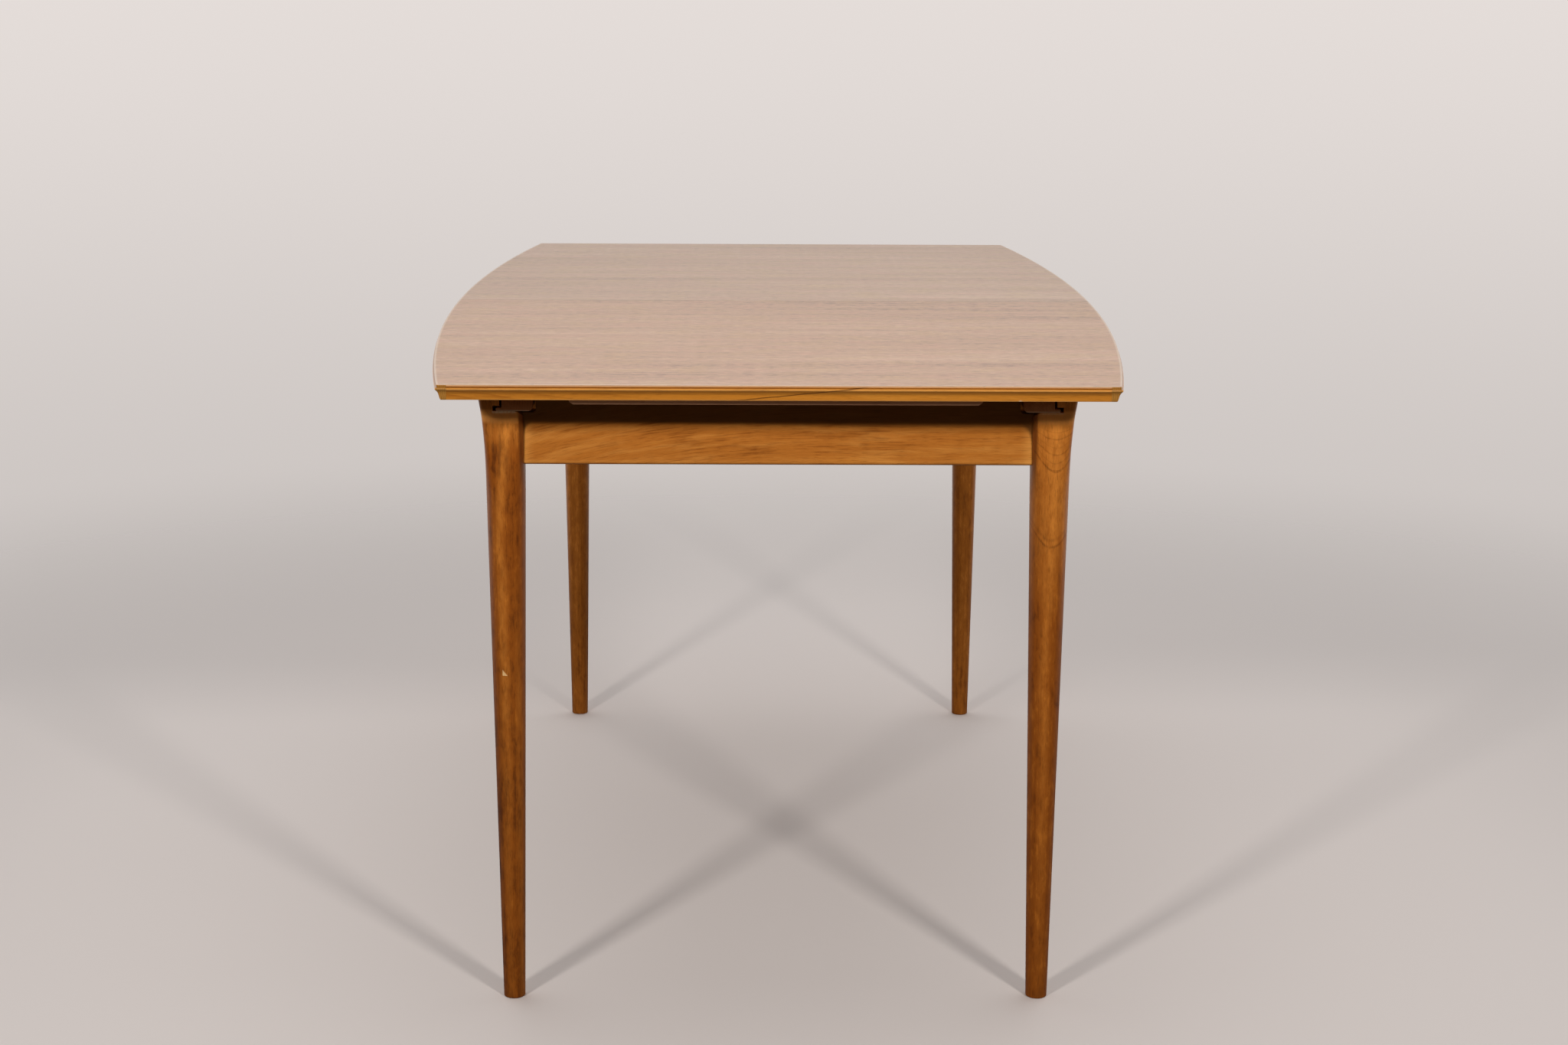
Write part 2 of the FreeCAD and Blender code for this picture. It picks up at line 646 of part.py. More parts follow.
def plan(sy, inset, y_in, y_out):
    """Outline of a board of one half, between y_in and y_out from the seam,
    whose sides follow the table's curve."""
    r = SIDE_RAD - q(inset)
    pts = [(arc_x(inset, y_in), q(y_in), r, 1), (arc_x(inset, y_out), q(y_out)),
           (-arc_x(inset, y_out), q(y_out), r, 1), (-arc_x(inset, y_in), q(y_in))]
    if sy > 0:
        return pts
    return [(p[0], -p[1]) + ((p[2], -p[3]) if len(p) > 2 else ()) for p in pts]


DOWELS = (-330.0, -130.0, 130.0, 330.0)
RUN_Y = (560.0, 420.0, 240.0, 80.0)
BAT_X = (-190.0, -64.0, 64.0, 190.0)
RUN_X = 288.0


def half_holes(body, label, sy, z, length):
    """Pilot holes for the runner and batten screws."""
    loops = [("circle", q(s * RUN_X), q(sy * y), D["screw_rad"]) for s in (-1, 1) for y in RUN_Y]
    loops += [("circle", q(x), flip(sy, mid(D["bat_out"], D["bat_in"])), D["screw_rad"]) for x in BAT_X]
    sk = sketch(body, label, "XY_Plane", z, loops)
    pocket(body, label.replace("_sketch", ""), sk, length)


for end_name, sy in ENDS:
    h = end_name
    gap, lip = D["seam_half"], D["lip"]
    core_in, core_out = gap + D["seam_lip"], D["half_len"] - lip

    label = h + "_top_core"
    core = new_body(label)
    sk = sketch(core, label + "_outline", "XY_Plane", mid(CORE_LOW, CORE_TOP), [plan(sy, lip, core_in, core_out)])
    pad(core, label + "_board", sk, CORE_TOP - CORE_LOW)
    half_holes(core, label + "_pilot_sketch", sy, CORE_LOW, 23)

    label = h + "_top_veneer"
    ven = new_body(label)
    sk = sketch(ven, label + "_outline", "XY_Plane", mid(CORE_TOP, TOP),
                [plan(sy, D["rim"], gap, D["half_len"] - D["rim"])])
    pad(ven, label + "_sheet", sk, D["veneer"])

    label = h + "_under_veneer"
    und = new_body(label)
    sk = sketch(und, label + "_outline", "XY_Plane", mid(LOW, CORE_LOW), [plan(sy, lip, core_in, core_out)])
    pad(und, label + "_sheet", sk, D["under"])
    half_holes(und, label + "_pilot_sketch", sy, CORE_LOW, 6)

    # moulded end lipping, butted between the side lippings
    label = h + "_end_lipping"
    el = new_body(label)
    sk = sketch(el, label + "_section", "YZ_Plane", 0,
                [section(lambda i: flip(sy, D["half_len"] - i), sy < 0, lip)])
    pad(el, label + "_strip", sk, D["half_mid"] * 2)
    r = SIDE_RAD - lip
    loops = []
    for sx in (-1, 1):
        ya, yb = D["half_len"] - lip - 6, D["half_len"] + 6
        side = 1 if sx * sy > 0 else -1
        loops.append([(flip(sx, arc_x(lip, ya)), flip(sy, ya), r, side), (flip(sx, arc_x(lip, yb)), flip(sy, yb)),
                      (flip(sx, 440), flip(sy, yb)), (flip(sx, 440), flip(sy, ya))])
    sk = sketch(el, label + "_ends_sketch", "XY_Plane", mid(LOW, TOP), loops)
    pocket(el, label + "_ends", sk, 40)

    # curved side lippings, turned about the side arc's centre, then moulded
    # at the end with the same section as the end lipping
    for side_name, sx in SIDES:
        label = "%s_side_lipping_%s" % (h, side_name)
        sl = new_body(label)
        sk = sketch(sl, label + "_section", "XZ_Plane", (flip(sx, -SIDE_CX), q(0)),
                    [section(lambda i: flip(sx, SIDE_RAD - i), sx < 0, lip)])
        rev = sl.newObject("PartDesign::Revolution", label + "_sweep")
        rev.Profile = sk
        rev.ReferenceAxis = (sk, ["V_Axis"])
        rev.Reversed = (sx * sy < 0)
        sweep = math.degrees(math.asin((D["half_len"].v + 12) / (SIDE_RAD.v - 12)))
        rev.Angle = sweep
        rev.setExpression("Angle", "asin((Dims.half_len + 12) / (%s - 12))" % SIDE_RAD.s)
        sk = sketch(sl, label + "_seam_sketch", "XY_Plane", mid(LOW, TOP),
                    [rect(*span(sx, q(380), q(440)), *span(sy, q(-3), gap))])
        pocket(sl, label + "_seam", sk, 40)
        # everything outside the end's moulding
        pts = section(lambda i: flip(sy, D["half_len"] - i), sy < 0, lip)[:-2]
        pts = [(flip(sy, D["half_len"] - D["rim"]), TOP + 4)] + pts
        pts.append((flip(sy, D["half_len"] - 6.0), LOW - 4))
        pts.append((flip(sy, D["half_len"] + 40), LOW - 4))
        pts.append((flip(sy, D["half_len"] + 40), TOP + 4))
        sk = sketch(sl, label + "_end_sketch", "YZ_Plane", flip(sx, D["half_end"]), [pts])
        pocket(sl, label + "_end", sk, 90)

    label = h + "_seam_lipping"
    sm = new_body(label)
    sk = sketch(sm, label + "_outline", "XY_Plane", mid(LOW, CORE_TOP), [plan(sy, lip, gap, core_in)])
    pad(sm, label + "_strip", sk, CORE_TOP - LOW)
    rad = D["dowel_rad"] if sy < 0 else D["socket_rad"]
    deep = D["dowel_in"] if sy < 0 else D["socket_deep"]
    sk = sketch(sm, label + "_holes_sketch", "XZ_Plane", -flip(sy, gap),
                [("circle", q(x), D["dowel_z"], rad) for x in DOWELS])
    pocket(sm, label + "_holes", sk, deep * 2)

    # runners
    for side_name, sx in SIDES:
        label = "%s_runner_%s" % (h, side_name)
        run = new_body(label)
        pts = [(D["run_in"], LOW), (D["run_in"], D["run_low"] + 5.5, 5.5, 1), (D["run_in"] + 5.5, D["run_low"]),
               (D["tongue_x"] - 1, D["run_low"], 1, 1), (D["tongue_x"], D["run_low"] + 1),
               (D["tongue_x"], D["tongue_top"] - 1, 1, 1), (D["tongue_x"] - 1, D["tongue_top"]),
               (D["run_out"], D["tongue_top"]), (D["run_out"], LOW)]
        if sx < 0:
            pts = [(-p[0], p[1]) + ((p[2], -p[3]) if len(p) > 2 else ()) for p in pts]
        sk = sketch(run, label + "_section", "XZ_Plane", -flip(sy, mid(D["run_start"], D["run_end"])), [pts])
        pad(run, label + "_bar", sk, D["run_end"] - D["run_start"])
        loops = [("circle", q(sx * RUN_X), q(sy * y), D["screw_rad"]) for y in RUN_Y]
        sk = sketch(run, label + "_hole_sketch", "XY_Plane", mid(D["run_low"], LOW), loops)
        pocket(run, label + "_holes", sk, 40)
        loops = [("circle", q(sx * RUN_X), q(sy * y), D["sink_rad"]) for y in RUN_Y]
        sk = sketch(run, label + "_sink_sketch", "XY_Plane", D["run_low"], loops)
        pocket(run, label + "_sinks", sk, 24)

    # stops under the runners: they meet the legs at full travel
    y0 = D["leg_y"] - 22 - D["travel"] - 0.4
    fuse(h + "_runner_stops", [
        box("%s_stop_%d" % (h, i), *span(sx, D["run_in"] + 3, D["rail_in"] - 2),
            *span(sy, y0 - 30, y0), D["stop_low"], D["run_low"])
        for i, sx in enumerate((-1, 1))])

    # end batten with bevelled ends and softened lower edges
    label = h + "_end_batten"
    bat = new_body(label)
    b0, b1 = D["bat_low"], LOW
    bh = D["bat_half"]
    left = D["bat_shift"] if sy < 0 else q(0)
    sk = sketch(bat, label + "_section", "XZ_Plane", -flip(sy, mid(D["bat_out"], D["bat_in"])), [[
        (-bh - left + 5, b0), (bh - left - 5, b0), (bh - left - 1, b0 + 3), (bh - left, b1),
        (-bh - left, b1), (-bh - left + 1, b0 + 3)]])
    pad(bat, label + "_board", sk, D["bat_out"] - D["bat_in"])
    loops = [("circle", q(x), flip(sy, mid(D["bat_out"], D["bat_in"])), D["screw_rad"]) for x in BAT_X]
    sk = sketch(bat, label + "_hole_sketch", "XY_Plane", mid(b0, b1), loops)
    pocket(bat, label + "_holes", sk, 30)
    loops = [("circle", q(x), flip(sy, mid(D["bat_out"], D["bat_in"])), D["sink_rad"]) for x in BAT_X]
    sk = sketch(bat, label + "_sink_sketch", "XY_Plane", b0, loops)
    pocket(bat, label + "_sinks", sk, 6.4)
    chamfer_y0, chamfer_y1 = D["bat_in"], D["bat_out"]
    pts = [(chamfer_y1 - 2, b0 - 1), (chamfer_y1 - 2, b0), (chamfer_y1, b0 + 2), (chamfer_y1 + 1, b0 + 2),
           (chamfer_y1 + 1, b0 - 1)]
    sk = sketch(bat, label + "_edge_sketch", "YZ_Plane", 0, [[(flip(sy, p[0]), p[1]) for p in pts]])
    pocket(bat, label + "_edge", sk, bh * 2 + 10)

    screws(h + "_runner_screws", [((q(s * RUN_X), q(sy * y), D["run_low"] + 12), (0, 0, 1), q(27.5))
                                  for s in (-1, 1) for y in RUN_Y])
    screws(h + "_batten_screws", [((q(x), flip(sy, mid(D["bat_out"], D["bat_in"])), b0 + 3.2), (0, 0, 1), q(15.8))
                                  for x in BAT_X])

# seam dowels, fixed in the near half
items = []
for i, x in enumerate(DOWELS):
    y0 = -D["seam_half"] - D["dowel_in"]
    total = D["dowel_in"] + D["dowel_out"]
    items.append(cylinder("seam_dowel_%d" % i, D["dowel_rad"], total - 1.5, (q(x), y0, D["dowel_z"]), (0, 1, 0)))
    items.append(cone("seam_dowel_tip_%d" % i, D["dowel_rad"], D["dowel_rad"] - 1.0, q(1.5),
                      (q(x), y0 + (total - 1.5), D["dowel_z"]), (0, 1, 0)))
fuse("seam_dowels", items)

# ------------------------------------------------------------- folded leaf
# Two panels folded on three butt hinges, their undersides together and their
# show faces outward. The hinge line is at +X.
li, lw = D["leaf_in"], D["leaf_half"]
pin_z = D["leaf_low"] + D["top_thick"] + D["leaf_gap"] / 2
HINGES = (-150.0, 0.0, 150.0)
LEAF_DOWELS = (li - 130.0, li - 330.0)
for which, down in (("lower", True), ("upper", False)):
    base = D["leaf_low"] if down else D["leaf_low"] + D["top_thick"] + D["leaf_gap"]
    top = base + D["top_thick"]
    if down:
        show = (base, base + D["veneer"])
        board = (base + D["veneer"], top)
    else:
        show = (top - D["veneer"], top)
        board = (base, top - D["veneer"])
    seam = D["leaf_seam_lip"]

    def hinge_cut(body, label):
        # recess for the plates and the knuckles, at each hinge
        fz = (top - D["flap_thick"] - 0.1, top + 2) if down else (base - 2, base + D["flap_thick"] + 0.1)
        loops = [rect(li - D["flap_wide"], li + 4, q(y) - D["flap_long"] / 2, q(y) + D["flap_long"] / 2)
                 for y in HINGES]
        sk = sketch(body, label + "_flap_sketch", "XY_Plane", mid(fz[0], fz[1]), loops)
        pocket(body, label + "_flaps", sk, fz[1] - fz[0])
        for n, y in enumerate(HINGES):
            sk = sketch(body, "%s_knuckle_sketch_%d" % (label, n), "XZ_Plane", q(-y),
                        [("circle", li, pin_z, D["knuckle_rad"] + 0.3)])
            pocket(body, "%s_knuckle_%d" % (label, n), sk, D["flap_long"])

    label = "leaf_%s_core" % which
    core = new_body(label)
    sk = sketch(core, label + "_outline", "XY_Plane", mid(board[0], board[1]),
                [rect(-li + D["lip"], li, -lw + seam, lw - seam)])
    pad(core, label + "_board", sk, board[1] - board[0])
    hinge_cut(core, label)

    label = "leaf_%s_veneer" % which
    ven = new_body(label)
    sk = sketch(ven, label + "_outline", "XY_Plane", mid(show[0], show[1]),
                [rect(-li + D["rim"], li, -lw, lw)])
    pad(ven, label + "_sheet", sk, D["veneer"])

    label = "leaf_%s_end_lipping" % which
    el = new_body(label)
    # the section is the top's own, set at the leaf's height
    sk = sketch(el, label + "_section", "XZ_Plane", 0,
                [section(lambda i: q(i) - li, True, D["lip"], base, down)])
    pad(el, label + "_strip", sk, lw * 2)

    fuse("leaf_%s_seam_lippings" % which, [
        cut("leaf_%s_seam_lipping_%d" % (which, n),
            box("leaf_%s_seam_board_%d" % (which, n), -li + D["lip"], li,
                *span(s, lw - seam, lw), board[0], board[1]),
            fuse("leaf_%s_seam_drills_%d" % (which, n),
                 [cylinder("leaf_%s_seam_drill_%d_%d" % (which, n, k),
                           D["dowel_rad"] if s > 0 else D["socket_rad"],
                           D["dowel_in"] + 1 if s < 0 else D["dowel_in"],
                           (x, flip(s, lw), base + D["top_thick"] / 2), (0, -s, 0))
                  for k, x in enumerate(LEAF_DOWELS)], False), False)
        for n, s in enumerate((-1, 1))])

items = []
for which in ("lower", "upper"):
    z = D["leaf_low"] + D["top_thick"] / 2 if which == "lower" else D["leaf_low"] + D["top_thick"] * 1.5 + D["leaf_gap"]
    for k, x in enumerate(LEAF_DOWELS):
        y0 = lw - D["dowel_in"]
        total = D["dowel_in"] + D["dowel_out"]
        items.append(cylinder("leaf_dowel_%s_%d" % (which, k), D["dowel_rad"], total - 1.5, (x, y0, z), (0, 1, 0)))
        items.append(cone("leaf_dowel_tip_%s_%d" % (which, k), D["dowel_rad"], D["dowel_rad"] - 1.0, q(1.5),
                          (x, y0 + (total - 1.5), z), (0, 1, 0)))
fuse("leaf_dowels", items)

# butt hinges: five knuckles each, three on the lower plate, two on the upper
fl, ft, kr = D["flap_long"], D["flap_thick"], D["knuckle_rad"]
step = fl / 5
for which, keep in (("lower", (0, 2, 4)), ("upper", (1, 3))):
    solids, drills = [], []
    for n, y in enumerate(HINGES):
        y0 = q(y) - fl / 2
        if which == "lower":
            z0, z1 = pin_z - 0.1 - ft, pin_z - 0.1
        else:
            z0, z1 = pin_z + 0.1, pin_z + 0.1 + ft
        solids.append(box("leaf_hinge_%s_flap_%d" % (which, n), li - D["flap_wide"] + 0.2, li - kr - 0.4,
                          y0 + 0.2, y0 + fl - 0.2, z0, z1))
        for k in keep:
            ya, yb = y0 + step * float(k) + 0.2, y0 + step * float(k + 1) - 0.2
            solids.append(cylinder("leaf_hinge_%s_knuckle_%d_%d" % (which, n, k), kr, yb - ya,
                                   (li, ya, pin_z), (0, 1, 0)))
            solids.append(box("leaf_hinge_%s_web_%d_%d" % (which, n, k), li - kr - 1.0, li, ya, yb, z0, z1))
        drills.append(cylinder("leaf_hinge_%s_drill_%d" % (which, n),
                               D["pin_rad"] if which == "lower" else D["pin_rad"] + 0.05,
                               fl + 2, (li, y0 - 1, pin_z), (0, 1, 0)))
    cut("leaf_hinge_plates_" + which, fuse("leaf_hinge_%s_brass" % which, solids, False),
        fuse("leaf_hinge_%s_drills" % which, drills, False))
fuse("leaf_hinge_pins", [cylinder("leaf_hinge_pin_%d" % n, D["pin_rad"], fl - 0.4,
                                  (li, q(y) - fl / 2 + 0.2, pin_z), (0, 1, 0)) for n, y in enumerate(HINGES)])

# ------------------------------------------------------------ write the parts
doc.recompute()
bad = [o.Name for o in doc.Objects if ("Invalid" in o.State or "Error" in o.State)]
if bad:
    raise RuntimeError("failed objects: %s" % bad)
os.makedirs("parts", exist_ok=True)
wanted = set()
for label, obj in PARTS:
    shape = obj.Shape
    if shape.isNull() or not shape.isValid():
        raise RuntimeError("bad shape: " + label)
    if not shape.Solids:
        raise RuntimeError("no solid: " + label)
    wanted.add(label + ".step")
for old in os.listdir("parts"):
    if old.endswith(".step") and old not in wanted:
        os.remove(os.path.join("parts", old))
for label, obj in PARTS:
    obj.Shape.exportStep("parts/%s.step" % label)
    b = obj.Shape.BoundBox
    print("%-32s %2d solids  x %8.2f %8.2f  y %8.2f %8.2f  z %7.2f %7.2f  vol %.0f"
          % (label, len(obj.Shape.Solids), b.XMin, b.XMax, b.YMin, b.YMax, b.ZMin, b.ZMax, obj.Shape.Volume))
print(len(PARTS), "parts")
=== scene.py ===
import math

import bmesh
import bpy
import numpy as np
from mathutils import Matrix, Vector


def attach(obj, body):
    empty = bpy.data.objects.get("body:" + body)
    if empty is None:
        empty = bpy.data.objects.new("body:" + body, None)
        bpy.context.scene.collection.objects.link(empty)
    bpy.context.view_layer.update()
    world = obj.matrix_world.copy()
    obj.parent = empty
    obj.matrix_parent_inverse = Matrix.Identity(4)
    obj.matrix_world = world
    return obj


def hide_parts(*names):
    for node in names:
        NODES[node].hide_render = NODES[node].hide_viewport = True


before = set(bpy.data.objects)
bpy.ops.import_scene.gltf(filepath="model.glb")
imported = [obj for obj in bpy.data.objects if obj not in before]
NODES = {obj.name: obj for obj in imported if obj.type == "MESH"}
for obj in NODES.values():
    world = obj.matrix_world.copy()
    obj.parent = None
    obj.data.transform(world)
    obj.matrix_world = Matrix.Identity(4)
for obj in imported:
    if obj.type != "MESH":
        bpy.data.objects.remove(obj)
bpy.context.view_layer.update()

scene = bpy.context.scene
MM = 0.001

# Extending dining table. Sizes below are millimetres in the table's own frame:
# X across, Y along its length (near end at -Y), Z up from the floor.
TOP, THICK = 738.5, 17.5
LOW = TOP - THICK
VENEER, UNDER, LIP, RIM = 0.8, 0.6, 12.0, 1.6
CORE_TOP = TOP - VENEER
HALF_LEN, HALF_MID, HALF_END = 711.0, 419.0, 366.75
SAG = HALF_MID - HALF_END
SIDE_RAD = (HALF_LEN * HALF_LEN + SAG * SAG) / (2 * SAG)
SIDE_CX = SIDE_RAD - HALF_MID
SEAM = 0.25
LEG_X, LEG_Y = 304.0, 590.0
SIDES = (("left", -1), ("right", 1))
ENDS = (("near", -1), ("far", 1))


def arc_x(inset, y):
    """Half width of the top at y, inset from the nose."""
    return math.sqrt((SIDE_RAD - inset) ** 2 - y * y) - SIDE_CX


# ------------------------------------------------------------------- camera
def make_camera():
    cam = bpy.data.cameras.new("camera")
    cam.sensor_width = 36.0
    cam.lens = 60.73
    cam.clip_start, cam.clip_end = 0.05, 60.0
    ob = bpy.data.objects.new("camera", cam)
    scene.collection.objects.link(ob)
    yaw, pitch, roll = 0.011965, 0.210487, 0.005138
    cy, sy, cp, sp = math.cos(yaw), math.sin(yaw), math.cos(pitch), math.sin(pitch)
    fwd = Vector((sy * cp, cy * cp, -sp))
    right = Vector((cy, -sy, 0))
    up = right.cross(fwd)
    cr, sr = math.cos(roll), math.sin(roll)
    r2 = right * cr + up * sr
    u2 = -right * sr + up * cr
    m = Matrix((r2, u2, -fwd)).transposed().to_4x4()
    m.translation = Vector((-0.0278, -3.4939, 1.1842))
    ob.matrix_world = m
    scene.camera = ob


make_camera()


# ---------------------------------------------------------------- mesh tools
def finish_mesh(name, bm, sharp=32.0, weighted=True):
    """Welds, orients and shades a mesh given in millimetres."""
    bmesh.ops.remove_doubles(bm, verts=bm.verts, dist=0.004)
    loose = [v for v in bm.verts if not v.link_faces]
    if loose:
        bmesh.ops.delete(bm, geom=loose, context="VERTS")
    flat = [f for f in bm.faces if f.calc_area() < 1e-7]
    if flat:
        bmesh.ops.delete(bm, geom=flat, context="FACES_ONLY")
    bmesh.ops.recalc_face_normals(bm, faces=bm.faces)
    bmesh.ops.scale(bm, vec=(MM, MM, MM), verts=bm.verts)
    me = bpy.data.meshes.new(name)
    bm.to_mesh(me)
    bm.free()
    for p in me.polygons:
        p.use_smooth = True
    me.set_sharp_from_angle(angle=math.radians(sharp))
    ob = bpy.data.objects.new(name, me)
    scene.collection.objects.link(ob)
    if weighted:
        w = ob.modifiers.new("normals", "WEIGHTED_NORMAL")
        w.mode = "FACE_AREA"
        w.keep_sharp = True
    return ob


def skin(rings, cap=True, closed=True):
    """Quads between successive rings of points, with an n-gon on each end."""
    bm = bmesh.new()
    rows = [[bm.verts.new(p) for p in ring] for ring in rings]
    n = len(rings[0])
    for a, b in zip(rows, rows[1:]):
        for i in range(n if closed else n - 1):
            j = (i + 1) % n
            bm.faces.new((a[i], a[j], b[j], b[i]))
    if cap:
        bm.faces.new(list(reversed(rows[0])))
        bm.faces.new(rows[-1])
    return bm


def inset_loop(pts, d):
    """A closed loop of 2D points, counter-clockwise, moved inwards by d."""
    out = []
    n = len(pts)
    for i in range(n):
        a, b, c = Vector(pts[i - 1]), Vector(pts[i]), Vector(pts[(i + 1) % n])
        e0, e1 = (b - a).normalized(), (c - b).normalized()
        n0, n1 = Vector((-e0.y, e0.x)), Vector((-e1.y, e1.x))
        m = n0 + n1
        m /= max(m.dot(n0), 0.25) if m.length > 1e-9 else 1.0
        out.append((b.x + m.x * d, b.y + m.y * d))
    return out


def soften(pts, radii, steps=5):
    """Rounds the corners of a closed 2D loop; radii gives one radius per
    point, 0 for none."""
    out = []
    n = len(pts)
    for i in range(n):
        r = radii[i]
        b = Vector(pts[i])
        if r <= 0:
            out.append((b.x, b.y))
            continue
        u = (Vector(pts[i - 1]) - b).normalized()
        v = (Vector(pts[(i + 1) % n]) - b).normalized()
        half = math.acos(max(-1, min(1, u.dot(v)))) / 2
        t = r / math.tan(half)
        centre = b + (u + v).normalized() * (r / math.sin(half))
        p, q = b + u * t - centre, b + v * t - centre
        a0, a1 = math.atan2(p.y, p.x), math.atan2(q.y, q.x)
        while a1 - a0 > math.pi:
            a1 -= 2 * math.pi
        while a1 - a0 < -math.pi:
            a1 += 2 * math.pi
        for k in range(steps + 1):
            a = a0 + (a1 - a0) * k / steps
            out.append((centre.x + r * math.cos(a), centre.y + r * math.sin(a)))
    return out


def ccw(pts):
    area = sum(pts[i - 1][0] * pts[i][1] - pts[i][0] * pts[i - 1][1] for i in range(len(pts)))
    return list(pts) if area > 0 else list(reversed(pts))


def rolled(pts, place, a, b, r, steps=3):
    """A prism of the 2D loop between a and b, both end edges rounded by r.
    place(u, v, w) gives the 3D point."""
    pts = ccw(pts)
    rings = []
    for k in range(steps + 1):
        t = math.pi / 2 * k / steps
        ring = inset_loop(pts, r * (1 - math.sin(t)))
        rings.append([place(u, v, a + r * (1 - math.cos(t))) for u, v in ring])
    for k in range(steps, -1, -1):
        t = math.pi / 2 * k / steps
        ring = inset_loop(pts, r * (1 - math.sin(t)))
        rings.append([place(u, v, b - r * (1 - math.cos(t))) for u, v in ring])
    return skin(rings)


def along_x(u, v, w):
    return (w, u, v)


def along_y(u, v, w):
    return (u, w, v)


def along_z(u, v, w):
    return (u, v, w)


def slab(name, outline, z0, z1, r, steps=3):
    """A flat board with rounded upper and lower edges."""
    return finish_mesh(name, rolled(outline, along_z, z0, z1, r, steps), 50)


def applied(ob):
    """Applies an object's modifiers and drops them."""
    dg = bpy.context.evaluated_depsgraph_get()
    me = bpy.data.meshes.new_from_object(ob.evaluated_get(dg))
    ob.modifiers.clear()
    old = ob.data
    ob.data = me
    bpy.data.meshes.remove(old)
    return ob


def carve(ob, *cutters):
    """Cuts closed meshes out of an object."""
    for c in cutters:
        m = ob.modifiers.new("cut", "BOOLEAN")
        m.operation, m.solver, m.object = "DIFFERENCE", "EXACT", c
    bpy.context.view_layer.update()
    applied(ob)
    for c in cutters:
        me = c.data
        bpy.data.objects.remove(c)
        bpy.data.meshes.remove(me)
    return ob


def arris(ob, width, pick, sharp=35.0, segments=3):
    """Rounds the sharp edges for which pick(a, b) is true, points in mm."""
    bm = bmesh.new()
    bm.from_mesh(ob.data)
    bmesh.ops.remove_doubles(bm, verts=bm.verts, dist=0.02 * MM)
    bmesh.ops.dissolve_degenerate(bm, edges=bm.edges, dist=0.02 * MM)
    limit = math.radians(sharp)
    edges = [e for e in bm.edges if len(e.link_faces) == 2 and e.calc_face_angle() > limit
             and pick(e.verts[0].co / MM, e.verts[1].co / MM)]
    if edges:
        bmesh.ops.bevel(bm, geom=edges, offset=width * MM, offset_type="OFFSET", segments=segments,
                        profile=0.5, affect="EDGES", clamp_overlap=True)
    bmesh.ops.remove_doubles(bm, verts=bm.verts, dist=0.01 * MM)
    bm.to_mesh(ob.data)
    bm.free()
    for p in ob.data.polygons:
        p.use_smooth = True
    ob.data.set_sharp_from_angle(angle=math.radians(38))
    if not any(m.type == "WEIGHTED_NORMAL" for m in ob.modifiers):
        w = ob.modifiers.new("normals", "WEIGHTED_NORMAL")
        w.mode, w.keep_sharp = "FACE_AREA", True
    return ob


def settle(ob, body, node, slot, *mats):
    """Puts a piece on its body in place of a CAD node, with its materials."""
    which = [min(p.material_index, len(mats) - 1) for p in ob.data.polygons]
    ob.data.materials.clear()
    for m in mats:
        ob.data.materials.append(m)
    ob.data.polygons.foreach_set("material_index", which)
    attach(ob, body)
    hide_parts(node)
    return ob


